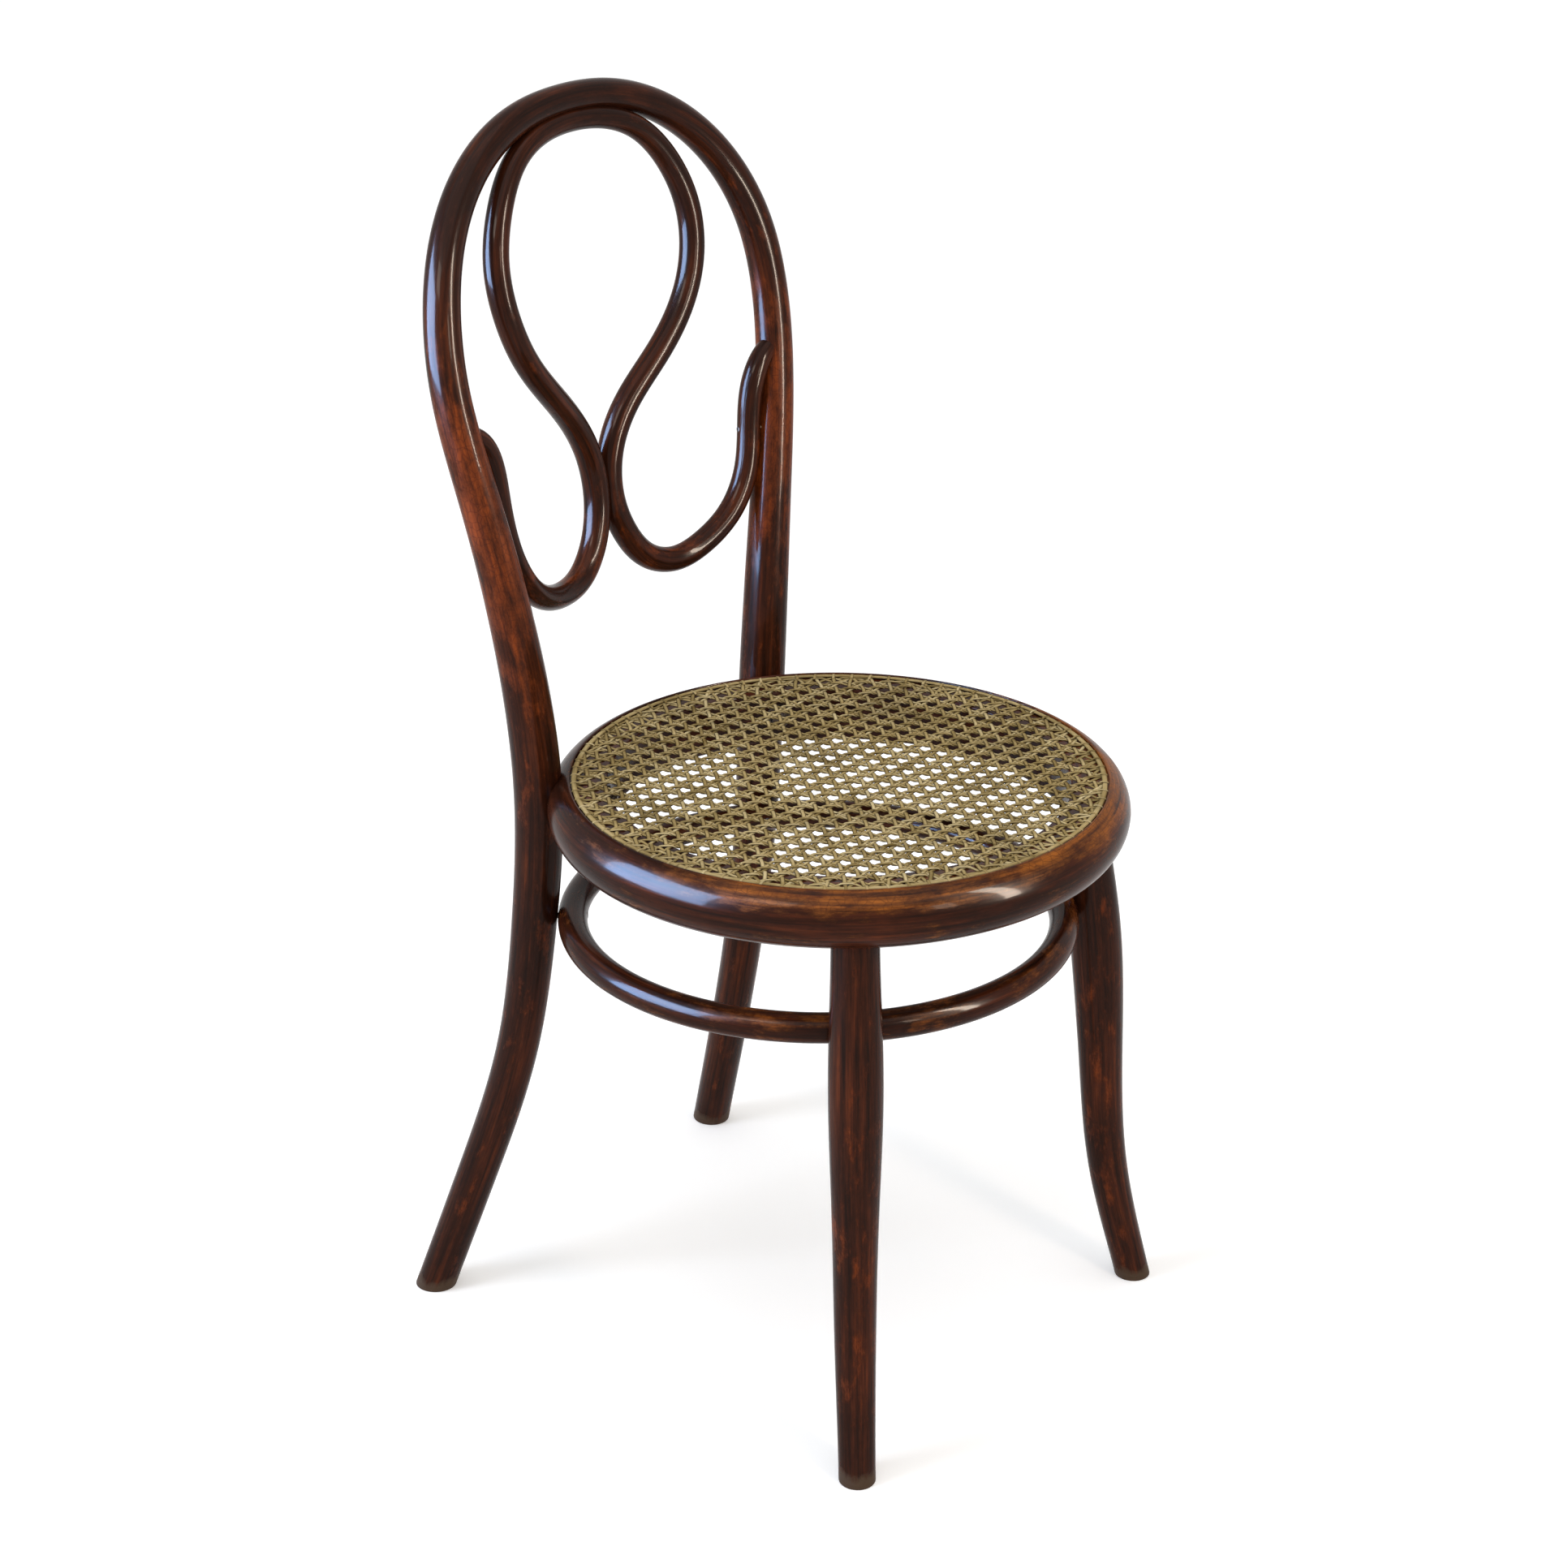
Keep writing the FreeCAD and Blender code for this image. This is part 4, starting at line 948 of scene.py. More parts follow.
@dataclass
class BackLoop:
    """The thinner loop inside the hoop: a heart and two lobes, bent from one rod.

    Stations have their distance across, their drop below the crown, their bow behind the stile
    at that height and the rod's radius. The first ones, along the stile, are measured inward
    from its axis, and the rest outward from the middle. The loop was bent by hand, and on the
    left its first stations lie higher than on the right.
    """

    back: BackFrame
    end: tuple = ((7.0, 218.0, -1.0, 8.0), (18.5, 227.0, 0.0, 8.8), (24.5, 244.0, 3.0, 9.3),
                  (23.8, 270.0, 6.5, 9.4), (23.4, 307.0, 7.5, 9.5))
    lobe: tuple = ((118.0, 340.0, 11.0, 9.6), (92.0, 360.0, 19.0, 9.8), (66.0, 368.0, 26.5, 9.9),
                   (40.0, 360.0, 32.0, 10.1), (19.0, 336.0, 35.0, 10.2), (8.2, 300.0, 37.0, 10.2))
    heart: tuple = ((13.5, 266.0, 36.0, 10.2), (33.0, 234.0, 30.5, 10.1), (61.0, 205.0, 21.0, 10.0),
                    (88.0, 174.0, 13.0, 9.9), (105.0, 139.0, 7.5, 9.9), (109.0, 100.0, 4.0, 9.8),
                    (95.0, 61.0, 0.5, 9.5), (72.0, 34.5, -1.0, 9.1))
    top: tuple = (0.0, 15.5, -5.0, 8.6)
    left_rise: tuple = (13.0, 13.0, 12.0, 9.0, 0.0, 3.0, 7.0, 9.0, 5.0, 1.0)
    clasp_flat: float = 0.1
    clasp_drop: float = 230.0
    rubbed: tuple = ((0.12, 0.60, 0.05),)
    sound: tuple = (0.10, 0.66, 0.85)

    def half(self, side: Side) -> Array:
        """Lay out one side of the loop.

        Args:
            side: The side.

        Returns:
            Its stations with their radii, from its end on the stile to the top.
        """
        rows = np.array(self.end + self.lobe + self.heart + (self.top,)) * MM
        height = self.back.crown_height * MM - rows[:, 1]
        if side is Side.LEFT:
            height[:len(self.left_rise)] += np.array(self.left_rise) * MM
        stile = np.array([self.back.stile_at(level) for level in height[:-1]] + [self.back.crown()])
        across = rows[:, 0].copy()
        ends = len(self.end)
        across[:ends] = stile[:ends, 0] - rows[:ends, 0]
        return np.column_stack([side.value * across, stile[:, 1] + rows[:, 2], height, rows[:, 3]])

    def rod(self) -> tuple[BentRod, int]:
        """Lay the loop's line from the right end to the left.

        Returns:
            The rod, and which of its stations is the top.
        """
        right = self.half(Side.RIGHT)
        line = np.concatenate([right, self.half(Side.LEFT)[-2::-1]])
        return BentRod(line[:, :3], line[:, 3]), len(right) - 1

    def build(self, finish: bpy.types.Material) -> bpy.types.Object:
        """Build the loop, pressed flat where its two passes meet in the middle.

        Args:
            finish: The stained beech.

        Returns:
            The finished piece.
        """
        rod, top = self.rod()
        points, straight = rod.tube(0.0, rod.knots[-1], np.array([0.0, 1.0, 0.0]))
        across, height = points[:, :, 0], points[:, :, 2]
        right = straight[:, :, 2] < rod.knots[top]
        low = height < (self.back.crown_height - self.clasp_drop) * MM
        flat = self.clasp_flat * MM
        pressed = np.where(right, np.maximum(across, flat), np.minimum(across, -flat))
        points[:, :, 0] = np.where(low, pressed, across)
        wear = standing_wear(height, self.rubbed, self.sound)
        skin = Skin()
        skin.add(points, WornRod().values(straight, wear), poles=True)
        return stand_for(skin.piece("inner_loop", finish), Slot.BENTWOOD, "back_loop")


@dataclass
class FrontLegs:
    """The two front legs, each bent in an upright plane.

    Each station is its flare outside the leg's top and its radius, at even quarters of the
    height from the floor to the seat ring's underside.
    """

    seat: SeatPlan
    angle: float = 49.2
    flare_angle: float = 47.0
    inset: float = 28.1
    leg: tuple = ((56.4, 13.8), (31.8, 15.4), (21.8, 17.5), (13.8, 20.1), (0.0, 17.6))
    housed: float = 5.0
    rubbed: tuple = ((0.10, 0.18, 0.15),)
    sound: tuple = (0.12, 0.33, 0.40)

    def build(self, finish: bpy.types.Material, side: Side) -> bpy.types.Object:
        """Build one leg, from the floor to just inside the seat ring.

        Args:
            finish: The stained beech.
            side: The leg's side.

        Returns:
            The finished piece.
        """
        seat = self.seat
        rows = np.array(self.leg) * MM
        top = seat.polar(seat.outer_radius - self.inset * MM, self.angle, 0.0)
        outward = seat.polar(1.0, self.flare_angle, 0.0)
        half = top + rows[:, :1] * outward
        half[:, 2] = seat.bottom * np.arange(5) / 4
        below = half[0] + (half[0] - half[1]) / 4
        above = half[-1] + (half[-1] - half[-2]) / 4
        line = seat.shifted(np.vstack([below, half, above])) * [side.value, 1.0, 1.0]
        rod = BentRod(line, np.concatenate([rows[:1, 1], rows[:, 1], rows[-1:, 1]]))
        last = len(line) - 1
        start = rod.along_at_height(0.0, 0, last)
        end = rod.along_at_height(seat.bottom + self.housed * MM, 0, last)
        points, straight = rod.tube(start, end, np.array([side.value, 0.0, 0.0]), True, True)
        wear = standing_wear(points[:, :, 2], self.rubbed, self.sound)
        skin = Skin()
        skin.add(points, WornRod().values(straight, wear, foot_scuff(points)), poles=True)
        label = side.name.lower()
        return stand_for(skin.piece("turned_leg_" + label, finish), Slot.BENTWOOD, "front_leg_" + label)


@dataclass
class SeatRing:
    """The wide bent ring that carries the cane, its section rounded outside and rebated on top.

    Sizes are in millimetres. Its wear grows from sides to front between the two values of
    worn_front, upwards between those of worn_upper, measured from the height of the outer edge's
    middle, and outwards between those of worn_outside, measured from the edge's middle.
    """

    seat: SeatPlan
    inner_radius: float = 174.0
    ledge_radius: float = 201.9
    ledge_height: float = 458.8
    under_rounding: float = 6.0
    lip_rounding: float = 1.5
    rim_rounding: float = 1.0
    around: int = 288
    worn: float = 0.46
    sound: float = -0.02
    sound_inside: float = 0.10
    worn_front: tuple = (-0.45, 0.6)
    worn_upper: tuple = (3.0, 17.0)
    worn_outside: tuple = (-5.0, 8.0)

    def section(self) -> Array:
        """The ring's closed section, going round from the underside over the outer edge.

        It is a run of arcs, with straight lines between their ends: the outer edge, the rim
        above the cane, the lip, and the rounding underneath.

        Returns:
            One row of distance from the axis and height for each point.
        """
        seat = self.seat
        middle = seat.outer_radius - seat.edge_radius
        rim = self.rim_rounding * MM
        rim_top = self.ledge_radius * MM + rim
        reach = math.acos((rim_top - middle) / (seat.edge_radius - rim))
        rim_height = seat.edge_height + math.sin(reach) * (seat.edge_radius - rim)
        inner = self.inner_radius * MM
        ledge = self.ledge_height * MM
        lip = self.lip_rounding * MM
        under = self.under_rounding * MM
        arcs = (
            (middle, seat.edge_height, seat.edge_radius, -90.0, math.degrees(reach), 36),
            (rim_top, rim_height, rim, math.degrees(reach), 180.0, 6),
            (self.ledge_radius * MM, ledge, 0.0, 0.0, 0.0, 1),
            (inner + lip, ledge - lip, lip, 90.0, 180.0, 5),
            (inner + under, seat.bottom + under, under, 180.0, 270.0, 8),
        )
        runs = []
        for x, z, radius, first, last, count in arcs:
            angle = np.radians(np.linspace(first, last, count))
            runs.append(np.column_stack([x + radius * np.cos(angle), z + radius * np.sin(angle)]))
        run = np.concatenate(runs)
        return np.vstack([run, run[:1]])

    def build(self, finish: bpy.types.Material) -> bpy.types.Object:
        """Turn the section round the seat's axis, most worn along the front and the top edge.

        Args:
            finish: The stained beech.

        Returns:
            The finished piece.
        """
        section = self.section()
        turn, reach, z = np.broadcast_arrays(
            np.linspace(0.0, 2 * math.pi, self.around + 1)[:, None], section[:, 0], section[:, 1])
        edge_height = self.seat.edge_height
        middle = self.seat.outer_radius - self.seat.edge_radius
        y = self.seat.axis_depth + np.cos(turn) * reach
        points = np.stack([np.sin(turn) * reach, y, z], axis=2)
        straight = np.stack([reach - middle, z - edge_height, turn * middle], axis=2)
        front = ease(-np.cos(turn), *self.worn_front)
        upper = ease(z, *(edge_height + np.array(self.worn_upper) * MM))
        outside = ease(reach, *(middle + np.array(self.worn_outside) * MM))
        wear = self.sound + self.worn * front * upper * outside - self.sound_inside * (1.0 - outside)
        skin = Skin()
        skin.add(points, WornRod(gold=0.9).values(straight, wear), closed_rows=True)
        return stand_for(skin.piece("seat_hoop", finish), Slot.BENTWOOD, "seat_ring")


@dataclass
class LegRing:
    """The round hoop between the legs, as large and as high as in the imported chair.

    Its wear grows from sides to front, and from under to upper side, between worn_between.
    """

    around: int = 240
    section_points: int = 32
    worn: float = 0.12
    worn_all_round: float = 0.04
    worn_between: tuple = (-0.3, 0.7)

    def build(self, finish: bpy.types.Material) -> bpy.types.Object:
        """Carry a circle round a circle: the point at (turn, angle) is (R + r cos) out and r sin up.

        Args:
            finish: The stained beech.

        Returns:
            The finished piece.
        """
        low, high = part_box("leg_ring")
        centre = (low + high) / 2
        rod = (high.z - low.z) / 2
        ring = (high.x - low.x) / 2 - rod
        turn, angle = np.meshgrid(
            np.linspace(0.0, 2 * math.pi, self.around + 1),
            np.linspace(0.0, 2 * math.pi, self.section_points + 1), indexing="ij")
        aside, up = rod * np.cos(angle), rod * np.sin(angle)
        out = ring + aside
        points = np.stack([centre.x + np.sin(turn) * out, centre.y + np.cos(turn) * out,
                           centre.z + up], axis=2)
        straight = np.stack([aside, up, turn * ring], axis=2)
        front = ease(-np.cos(turn), *self.worn_between)
        upper = ease(np.sin(angle), *self.worn_between)
        wear = self.worn_all_round + self.worn * front * upper
        skin = Skin()
        skin.add(points, WornRod(gold=0.7).values(straight, wear), closed_rows=True)
        return stand_for(skin.piece("leg_hoop", finish), Slot.BENTWOOD, "leg_ring")


def cane_values(across: Array, along: Array, lane: float, tint: float) -> dict[str, Array]:
    """The named values of a strip of cane, which the aged cane reads.

    Args:
        across: How far places across the strip lie from its middle, as one row.
        along: How far places along it lie from its start, as one column.
        lane: The strip's own place in the pattern of fibres.
        tint: Its own tone, from 0 to 1.

    Returns:
        The values by name.
    """
    across, along = np.broadcast_arrays(across, along)
    own = np.full(across.shape, lane)
    return {"skin": np.stack([across, own, along], axis=2), "tint": np.full(across.shape, tint)}


class Course(Enum):
    """The four courses of strands, each with its direction in pitches and its height at the rim."""

    FRONT_TO_BACK = (0.0, 1.0, -0.30)
    SIDE_TO_SIDE = (1.0, 0.0, -0.10)
    RISING = (1.0, 1.0, 0.15)
    FALLING = (1.0, -1.0, 0.35)


@dataclass
class CaneSeat:
    """The six-way woven seat: pairs front to back and side to side, and two single diagonals.

    The gaps lie on a grid of two pitches. Pairs run midway between the gaps, and each diagonal
    runs past them through the middle of the sides. At the rim every strand bends aside to the
    nearest hole of the ring, under the binder. Dome is a strand's section in shares of its half
    width and its thickness.
    """

    seat: SeatPlan
    plane: float = 459.3
    pitch_x: float = 14.6
    pitch_y: float = 15.6
    offset_x: float = -1.7
    offset_y: float = -2.0
    hole_circle: float = 198.0
    hole_count: int = 84
    pair_spread: float = 3.6
    width: float = 3.4
    thickness: float = 0.62
    pair_wave: float = 0.45
    diagonal_wave: float = 0.72
    squareness: float = 2.6
    gather: float = 30.0
    hole_aim: float = 2.0
    settling: tuple = (4.0, 20.0)
    shortest: float = 60.0
    sag: float = 2.0
    wander: float = 0.16
    wander_lengths: tuple = (61.0, 23.0)
    wander_shift: float = 9.0
    step: float = 1.4
    dome: tuple = ((1.0, 0.0), (0.62, 0.36), (0.0, 0.5), (-0.62, 0.36), (-1.0, 0.0),
                   (-0.6, -0.5), (0.6, -0.5), (1.0, 0.0))
    seed: int = 7

    def strand_lines(self, course: Course) -> list[tuple[Array, Array, int]]:
        """Lay out the straight plan lines of one course.

        A line of the grid X a + Y b = k + 1/2, in pitches from a gap, meets the circle of holes
        where its distance from the axis leaves a chord. Pairs give two lines, a spread apart.

        Args:
            course: The course.

        Returns:
            For each line its two rim points, and 1 for the second line of a pair or else -1.
        """
        along_x, along_y, _ = course.value
        pitch = np.array([self.pitch_x, self.pitch_y])
        direction = np.array([along_x, along_y]) * pitch
        direction /= np.linalg.norm(direction)
        normal = np.array([-direction[1], direction[0]])
        measure = np.array([-along_y, along_x])
        gap = np.array([self.offset_x, self.offset_y])
        spacing = 1.0 / np.linalg.norm(measure / pitch)
        lines = []
        reach = int(self.hole_circle / spacing) + 2
        spreads = (-0.5, 0.5) if 0.0 in (along_x, along_y) else (0.0,)
        for number in range(-reach, reach):
            middle = gap @ normal + (number + 0.5) * spacing
            chord = self.hole_circle ** 2 - middle ** 2
            if chord < (self.shortest / 2) ** 2:
                continue
            for spread in spreads:
                aside = middle + spread * self.pair_spread
                half = math.sqrt(self.hole_circle ** 2 - aside ** 2)
                start = normal * aside - direction * half
                end = normal * aside + direction * half
                lines.append((start, end, 1 if spread > 0 else -1))
        return lines

    def nearest_hole(self, point: Array, direction: Array) -> Array:
        """Find the hole of the ring that a strand ends in.

        Args:
            point: Where its straight line meets the circle of holes.
            direction: The direction in which it arrives.

        Returns:
            The hole's place in plan.
        """
        aimed = point + direction * self.hole_aim
        step = 2 * math.pi / self.hole_count
        angle = round(math.atan2(aimed[1], aimed[0]) / step) * step
        return self.hole_circle * np.array([math.cos(angle), math.sin(angle)])

    def heights(self, course: Course, plan: Array, order: int) -> Array:
        """How high a strand lies above the weave's middle plane, along its length.

        A pair dips under one strand of each crossing pair and climbs over the other: with u the
        distance to the crossing in spreads, it is 2 u exp(1/2 - 2 u ** 2) of the pair wave. A
        diagonal lies over one kind of pair and under the other: a cosine with one turn from gap
        side to gap side, squared off by tanh.

        Args:
            course: The strand's course.
            plan: Its places in plan.
            order: 1 for the second strand of a pair, or else -1.

        Returns:
            The heights.
        """
        gap = np.array([self.offset_x, self.offset_y])
        cells = (plan - gap) / np.array([self.pitch_x, self.pitch_y])
        if course in (Course.FRONT_TO_BACK, Course.SIDE_TO_SIDE):
            crossing = 1 if course is Course.FRONT_TO_BACK else 0
            pitch = (self.pitch_x, self.pitch_y)[crossing]
            away = (cells[:, crossing] - np.floor(cells[:, crossing]) - 0.5) * pitch
            u = away / self.pair_spread
            swing = 2.0 * u * np.exp(0.5 - 2.0 * u * u)
            sign = -order if course is Course.FRONT_TO_BACK else order
            return sign * self.pair_wave * swing
        wave = np.cos(2.0 * math.pi * (cells[:, 0] - 0.5))
        sign = 1.0 if course is Course.RISING else -1.0
        return sign * self.diagonal_wave * np.tanh(self.squareness * wave)

    def strand(self, course: Course, start: Array, end: Array, order: int,
               random: np.random.Generator) -> tuple[Array, dict[str, Array]]:
        """One strand: a domed ribbon carried along its line.

        Its plan is the straight line, plus a slow wander, plus at each end the offset to its
        hole times (1 - distance / gather) ** 2.

        Args:
            course: The strand's course.
            start: Its first rim point in plan.
            end: Its last one.
            order: 1 for the second strand of a pair, or else -1.
            random: Where the wander and the tone are drawn from.

        Returns:
            The points, and the named values that the aged cane reads.
        """
        length = float(np.linalg.norm(end - start))
        direction = (end - start) / length
        travelled = np.linspace(0.0, length, max(int(length / self.step), 8) + 1)
        aside = np.array([-direction[1], direction[0]])
        plan = start + travelled[:, None] * direction
        drift = random.normal(0.0, self.wander, 3)
        long, short = self.wander_lengths
        slow = drift[0] + drift[1] * np.sin(travelled / long + self.wander_shift * drift[2]) \
            + drift[2] * np.sin(travelled / short)
        inside = np.minimum(travelled, length - travelled)
        plan = plan + (slow * ease(inside, 0.0, self.gather))[:, None] * aside
        lift = self.heights(course, plan, order)
        ends = ((start, travelled, -direction), (end, length - travelled, direction))
        for rim, distance, way in ends:
            pull = np.clip(1.0 - distance / self.gather, 0.0, 1.0) ** 2
            plan = plan + pull[:, None] * (self.nearest_hole(rim, way) - rim)
        settled = ease(inside, *self.settling)
        reach = np.linalg.norm(plan, axis=1) / self.hole_circle
        height = self.plane + lift * settled + course.value[2] * (1.0 - settled) \
            - self.sag * np.clip(1.0 - reach ** 2, 0.0, 1.0)
        line = np.column_stack([plan, height])
        ahead = unit(np.gradient(line, axis=0))
        sideways = unit(np.cross(np.array([0.0, 0.0, 1.0]), ahead))
        profile = np.array(self.dome) * (self.width / 2, self.thickness)
        points = carried(line, sideways, np.cross(ahead, sideways), profile)
        tint = float(random.random())
        values = cane_values(profile[None, :, 0] * MM, travelled[:, None] * MM + tint, tint, tint)
        return self.seat.shifted(points * MM), values

    def build_course(self, course: Course, finish: bpy.types.Material,
                     random: np.random.Generator) -> bpy.types.Object:
        """Build all the strands of one course as a piece.

        Args:
            course: The course.
            finish: The aged cane.
            random: Where each strand's wander and tone are drawn from.

        Returns:
            The finished piece.
        """
        skin = Skin()
        for start, end, order in self.strand_lines(course):
            points, values = self.strand(course, start, end, order, random)
            skin.add(points, values)
        name = "cane_strands_" + course.name.lower()
        return stand_for(skin.piece(name, finish, sharp=75.0), Slot.CANE, "cane_seat")

    def build(self, finish: bpy.types.Material) -> None:
        """Build the four courses, the binder and its ties, each the same on every run.

        Args:
            finish: The aged cane.
        """
        random = np.random.default_rng(self.seed)
        for course in Course:
            self.build_course(course, finish, random)
        binder = CaneBinder(self)
        binder.build_band(finish)
        binder.build_ties(finish, random)


@dataclass
class CaneBinder:
    """The wide cane that covers the holes round the seat, and the tie over it at each hole."""

    cane: CaneSeat
    shift: float = 0.8
    half_width: float = 2.0
    foot: float = 460.35
    rise: float = 0.85
    puff: float = 0.14
    tuck: float = 0.4
    fibre_reach: float = 1.1
    lane: float = 0.35
    tone: float = 0.5
    rows_per_hole: int = 6
    around: int = 12
    tie_reach: float = 3.45
    tie_foot: float = 460.2
    tie_rise: float = 1.25
    tie_tuck: float = 0.06
    tie_half_width: float = 1.15
    tie_half_thickness: float = 0.25
    tie_skew: float = 0.10
    tie_rows: int = 10

    def build_band(self, finish: bpy.types.Material) -> bpy.types.Object:
        """Build the binder: a domed band, pulled down a little at each tie.

        With t the turn and a the angle round the section, a point lies shift + half_width cos a
        outside the circle of holes and (rise - puff cos(holes t)) sin a above its foot. Sin a
        stops at -tuck, so that the band is flat underneath.

        Args:
            finish: The aged cane.

        Returns:
            The finished piece.
        """
        rows = self.cane.hole_count * self.rows_per_hole
        turn = np.linspace(0.0, 2 * math.pi, rows + 1)[:, None]
        angle = np.linspace(0.0, 2 * math.pi, self.around + 1)[None, :]
        out = self.cane.hole_circle + self.shift + self.half_width * np.cos(angle)
        swell = self.rise - self.puff * np.cos(turn * self.cane.hole_count)
        height = self.foot + swell * np.maximum(np.sin(angle), -self.tuck)
        points = np.stack([np.cos(turn) * out, np.sin(turn) * out, height], axis=2) * MM
        values = cane_values(np.cos(angle) * self.fibre_reach * MM,
                             turn * self.cane.hole_circle * MM, self.lane, self.tone)
        skin = Skin()
        skin.add(self.cane.seat.shifted(points), values, closed_rows=True)
        return stand_for(skin.piece("binder_cane", finish, sharp=60.0), Slot.CANE, "cane_binder")

    def build_ties(self, finish: bpy.types.Material, random: np.random.Generator) -> bpy.types.Object:
        """Build the ties, each a narrow cane arched over the binder and tucked in beside it.

        With a from just past half a turn to just below none, a tie's line lies tie_reach cos a
        outside the circle of holes and tie_rise sin a above its foot, a little skewed.

        Args:
            finish: The aged cane.
            random: Where each tie's skew and tone are drawn from.

        Returns:
            The finished piece.
        """
        skin = Skin()
        angle = np.linspace(math.pi * (1.0 + self.tie_tuck), -math.pi * self.tie_tuck, self.tie_rows)
        reach = self.tie_reach * np.cos(angle)
        profile = np.array([(1.0, 0.0), (0.0, -1.0), (-1.0, 0.0), (0.0, 1.0), (1.0, 0.0)]) \
            * (self.tie_half_width, self.tie_half_thickness)
        for turn in 2 * math.pi * np.arange(self.cane.hole_count) / self.cane.hole_count:
            skew = random.normal(0.0, self.tie_skew)
            out = np.array([math.cos(turn), math.sin(turn), 0.0])
            side = np.array([-math.sin(turn), math.cos(turn), 0.0])
            line = (self.cane.hole_circle + reach)[:, None] * out + (reach * skew)[:, None] * side
            line[:, 2] = self.tie_foot + self.tie_rise * np.sin(angle)
            ahead = unit(np.gradient(line, axis=0))
            sideways = unit(side - ahead * (ahead @ side)[:, None])
            points = carried(line, sideways, np.cross(sideways, ahead), profile)
            tint = float(random.random())
            values = cane_values(profile[None, :, 0] * MM, np.full((len(line), 1), tint), tint, tint)
            skin.add(self.cane.seat.shifted(points * MM), values)
        return stand_for(skin.piece("binder_loops", finish, sharp=75.0), Slot.CANE, "cane_binder_ties")


@dataclass
class Fasteners:
    """The screws, washers and pegs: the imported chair's own nodes, dressed."""

    steel_words: tuple = ("screw", "washer")
    peg_node: str = "cane_pegs"

    def dress(self, steel: bpy.types.Material, wood: bpy.types.Material) -> None:
        """Give the steel to each screw and washer and the wood to the pegs.

        Args:
            steel: The aged steel.
            wood: The whittled peg's wood.
        """
        for name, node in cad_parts.items():
            if name == self.peg_node or any(word in name for word in self.steel_words):
                node.data.materials.clear()
                node.data.materials.append(wood if name == self.peg_node else steel)
                log.info("%s: dressed with %s", name, node.data.materials[0].name)


@dataclass(frozen=True)
class Window:
    """A soft rectangular lamp, placed from the floor under the chair.

    It stands so far ahead towards the camera, so far aside to the camera's right and so high,
    and is turned to a height on the chair's axis. One with shine only shows in polished
    surfaces and leaves the rest as it is.
    """

    name: str
    ahead: float
    aside: float
    height: float
    aim: float
    size: tuple
    watts: float
    colour: str
    shine: bool = False

    def hang(self, near: Vector, right: Vector) -> None:
        """Put the lamp in the scene.

        Args:
            near: The level direction towards the camera.
            right: The camera's right.
        """
        up = Vector((0.0, 0.0, 1.0))
        place = near * self.ahead + right * self.aside + up * self.height
        data = bpy.data.lights.new(self.name, "AREA")
        data.shape = "RECTANGLE"
        data.size, data.size_y = self.size
        data.energy = self.watts
        data.color = linear(self.colour)[:3]
        lamp = bpy.data.objects.new(self.name, data)
        lamp.location = place
        lamp.rotation_mode = "QUATERNION"
        lamp.rotation_quaternion = (up * self.aim - place).to_track_quat("-Z", "Y")
        lamp.visible_diffuse = not self.shine
        bpy.context.scene.collection.objects.link(lamp)


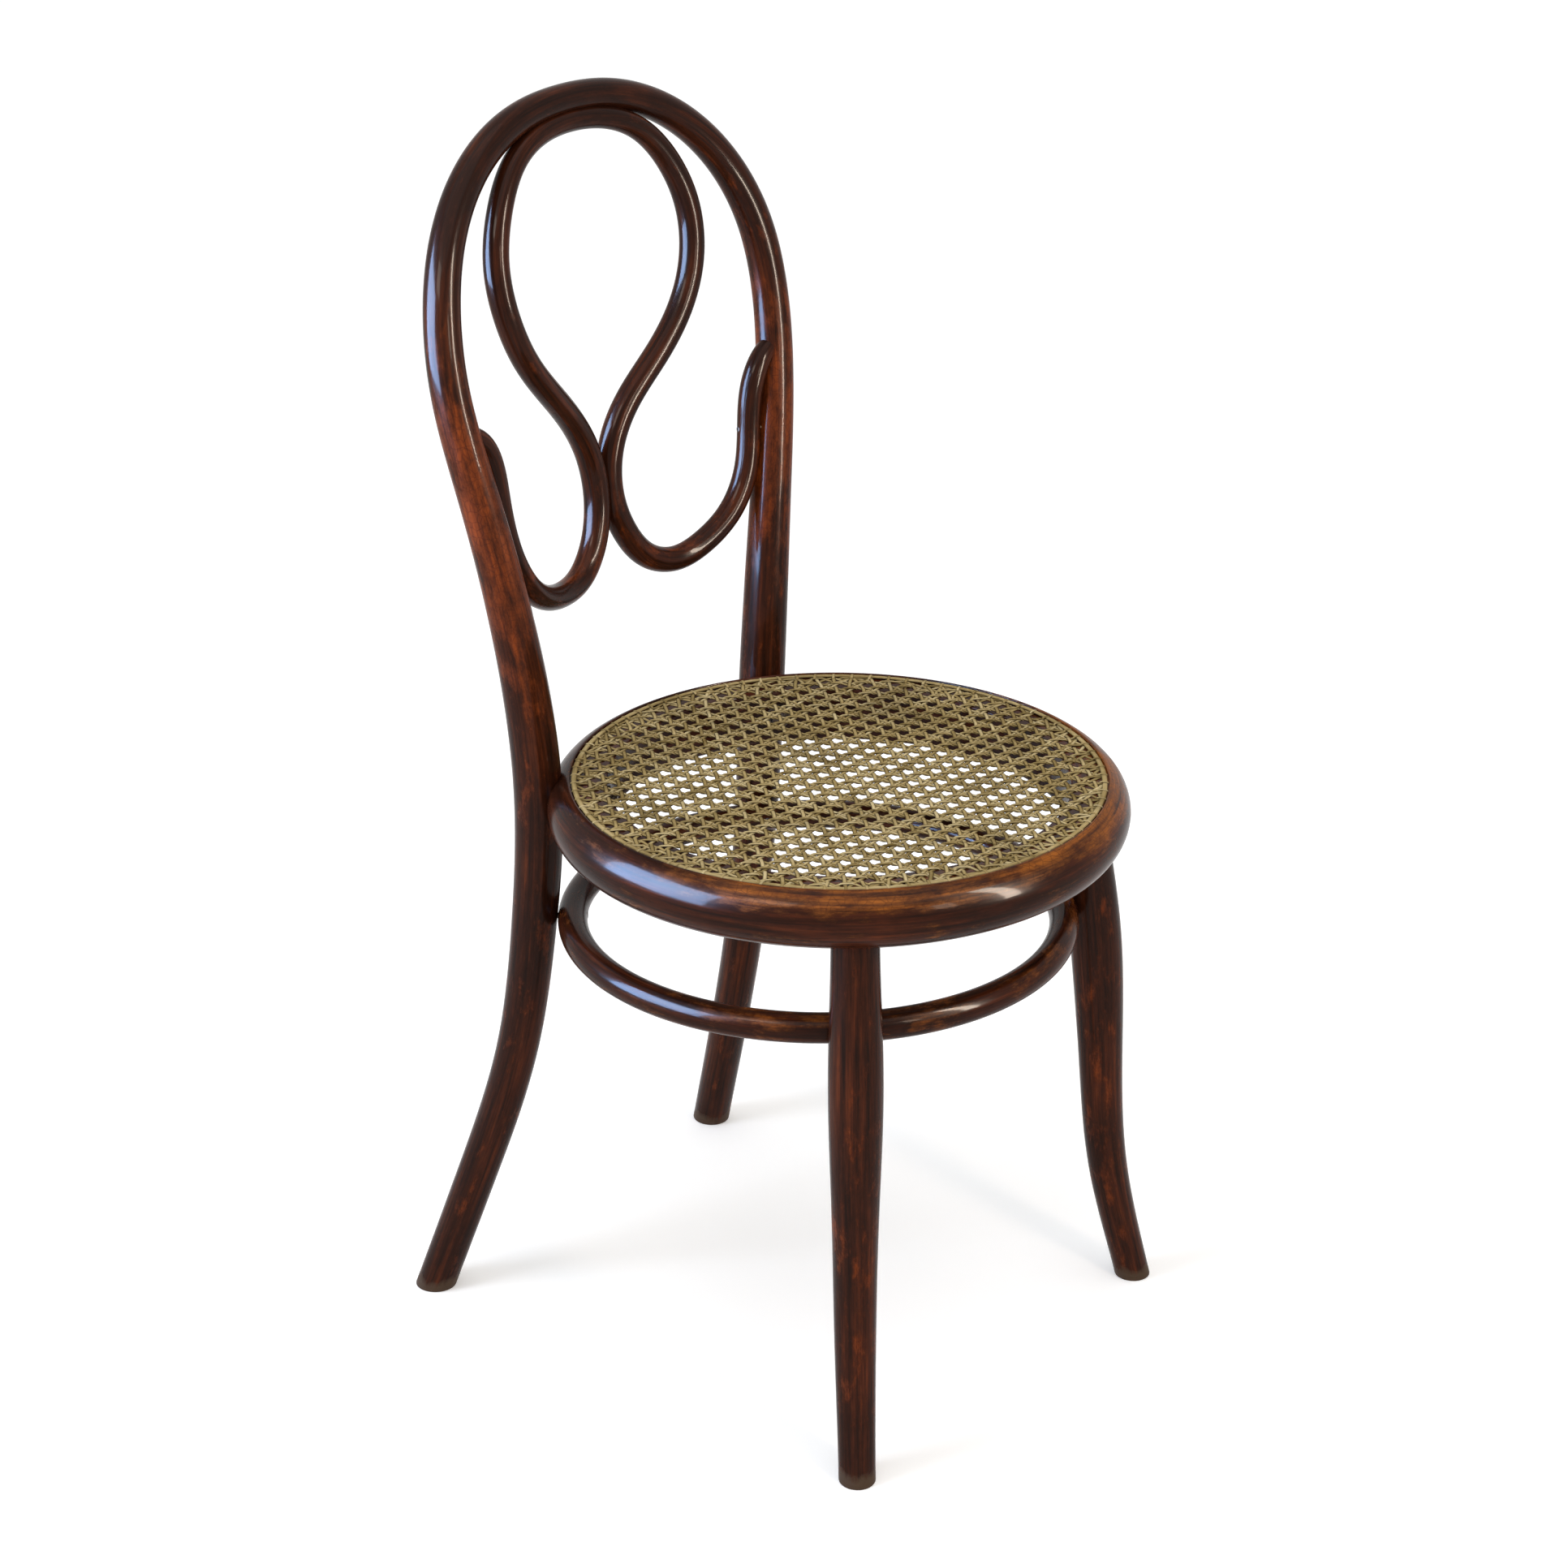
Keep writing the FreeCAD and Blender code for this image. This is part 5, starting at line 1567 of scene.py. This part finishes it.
@dataclass
class Studio:
    """A pale floor, windows round the chair, an even sky and the photograph's camera."""

    turn: float = -52.04
    tilt: float = 23.71
    roll: float = 0.19
    lens: float = 83.42
    film_width: float = 36.0
    place: tuple = (-1.995, -1.5375, 1.550)
    floor_size: float = 60.0
    floor_colour: str = "#f4f4f3"
    world_strength: float = 0.42
    sky_strength: float = 1.2
    sky_spread: float = 70.0
    sky_lean: tuple = (8.0, -10.0)
    floor_glow: float = 0.31
    windows: tuple = (
        Window("window_left", 0.5, -1.4, 1.02, 0.8, (1.3, 1.1), 400.0, "#a3c8ff", shine=True),
        Window("pane_front", 1.3, -0.75, 1.95, 0.5, (0.6, 0.45), 14.0, "#fff0e2", shine=True),
        Window("pane_right", 0.6, 1.15, 1.1, 0.8, (0.17, 1.1), 75.0, "#ffecd8", shine=True),
        Window("lamp_left", 0.9, -1.9, 1.5, 0.5, (0.9, 0.9), 26.0, "#eaf1ff"),
        Window("lamp_right", 1.7, 1.4, 1.4, 0.5, (0.3, 0.5), 12.0, "#ffe6d0"),
    )

    def axes(self) -> tuple[Vector, Vector, Vector]:
        """Work out the camera's directions, without its roll.

        Returns:
            Its right, up and backward directions.
        """
        turn, tilt = math.radians(self.turn), math.radians(self.tilt)
        back = Vector((math.sin(turn) * math.cos(tilt), -math.cos(turn) * math.cos(tilt), math.sin(tilt)))
        right = Vector((math.cos(turn), math.sin(turn), 0.0))
        return right, back.cross(right), back

    def camera(self) -> None:
        """Set the camera where the photograph was taken from."""
        right, up, back = self.axes()
        roll = math.radians(self.roll)
        x_axis = right * math.cos(roll) + up * math.sin(roll)
        y_axis = up * math.cos(roll) - right * math.sin(roll)
        data = bpy.data.cameras.new("portrait_camera")
        data.lens = self.lens
        data.sensor_width = self.film_width
        camera = bpy.data.objects.new("portrait_camera", data)
        rotation = Matrix((x_axis, y_axis, back)).transposed().to_4x4()
        camera.matrix_world = Matrix.Translation(Vector(self.place)) @ rotation
        bpy.context.scene.collection.objects.link(camera)
        bpy.context.scene.camera = camera

    def lamps(self) -> None:
        """Hang a cool window on the left, warm panes at the front and right, and an even sky."""
        right, _, back = self.axes()
        near = Vector((back.x, back.y, 0.0)).normalized()
        for window in self.windows:
            window.hang(near, right)
        sky = bpy.data.lights.new("sky_above", "SUN")
        sky.energy = self.sky_strength
        sky.angle = math.radians(self.sky_spread)
        lamp = bpy.data.objects.new("sky_above", sky)
        lamp.rotation_euler = (*map(math.radians, self.sky_lean), 0.0)
        bpy.context.scene.collection.objects.link(lamp)

    def surroundings(self) -> None:
        """Light from all sides, and white where the camera or a reflection looks past the floor."""
        world = bpy.data.worlds.new("studio")
        world.use_nodes = True
        tree = world.node_tree
        tree.nodes.clear()
        strength = self._seen_or(tree, 1.0, self.world_strength)
        light = add_node(tree, "ShaderNodeBackground", inputs={
            "Color": (1.0, 1.0, 1.0, 1.0), "Strength": strength,
        })
        add_node(tree, "ShaderNodeOutputWorld", inputs={"Surface": light.outputs["Background"]})
        bpy.context.scene.world = world

    def floor(self) -> None:
        """A wide pale floor that stays white round the chair and keeps its soft shadow."""
        half = self.floor_size / 2
        mesh = bpy.data.meshes.new("studio_floor")
        mesh.from_pydata([(-half, -half, 0.0), (half, -half, 0.0), (half, half, 0.0),
                          (-half, half, 0.0)], [], [(0, 1, 2, 3)])
        material, tree = new_material("paper_matt_white")
        paper = add_node(tree, "ShaderNodeBsdfDiffuse", inputs={"Color": linear(self.floor_colour)})
        glow = add_node(tree, "ShaderNodeEmission", inputs={
            "Color": (1.0, 1.0, 1.0, 1.0), "Strength": self._seen_or(tree, self.floor_glow, 0.0),
        })
        both = add_node(tree, "ShaderNodeAddShader", inputs={
            0: paper.outputs["BSDF"], 1: glow.outputs["Emission"],
        })
        add_node(tree, "ShaderNodeOutputMaterial", inputs={"Surface": both.outputs["Shader"]})
        mesh.materials.append(material)
        floor = bpy.data.objects.new("studio_floor", mesh)
        bpy.context.scene.collection.objects.link(floor)

    def _seen_or(self, tree: bpy.types.NodeTree, seen: float, unseen: float) -> bpy.types.NodeSocket:
        """One strength where a camera, glossy or transmission ray looks, and another elsewhere.

        Args:
            tree: The node tree to add to.
            seen: The strength for those rays.
            unseen: The strength for all others.

        Returns:
            The socket that carries the strength.
        """
        path = add_node(tree, "ShaderNodeLightPath").outputs
        looks = add_node(tree, "ShaderNodeMath", {"operation": "MAXIMUM"}, {
            0: path["Is Camera Ray"], 1: path["Is Glossy Ray"],
        }).outputs["Value"]
        looks = add_node(tree, "ShaderNodeMath", {"operation": "MAXIMUM"}, {
            0: looks, 1: path["Is Transmission Ray"],
        }).outputs["Value"]
        return add_node(tree, "ShaderNodeMath", {"operation": "MULTIPLY_ADD"}, {
            0: looks, 1: seen - unseen, 2: unseen,
        }).outputs["Value"]

    def build(self) -> None:
        """Set up the whole studio."""
        self.camera()
        self.lamps()
        self.surroundings()
        self.floor()
        bpy.context.scene.view_settings.view_transform = "Standard"
        log.info("studio: camera %.0f mm, %d lamps", self.lens, len(self.windows) + 1)


def main() -> None:
    """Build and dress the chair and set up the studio."""
    logging.basicConfig(level=logging.INFO, format="%(name)s: %(message)s")
    beech = StainedBeech().material()
    cane = AgedCane().material()
    seat = SeatPlan.from_frame()
    back = BackFrame(seat)
    back.build(beech)
    BackLoop(back).build(beech)
    SeatRing(seat).build(beech)
    LegRing().build(beech)
    legs = FrontLegs(seat)
    for side in Side:
        legs.build(beech, side)
    CaneSeat(seat).build(cane)
    Fasteners().dress(AgedSteel().material(), WhittledPeg().material())
    Studio().build()


if __name__ == "__main__":
    main()
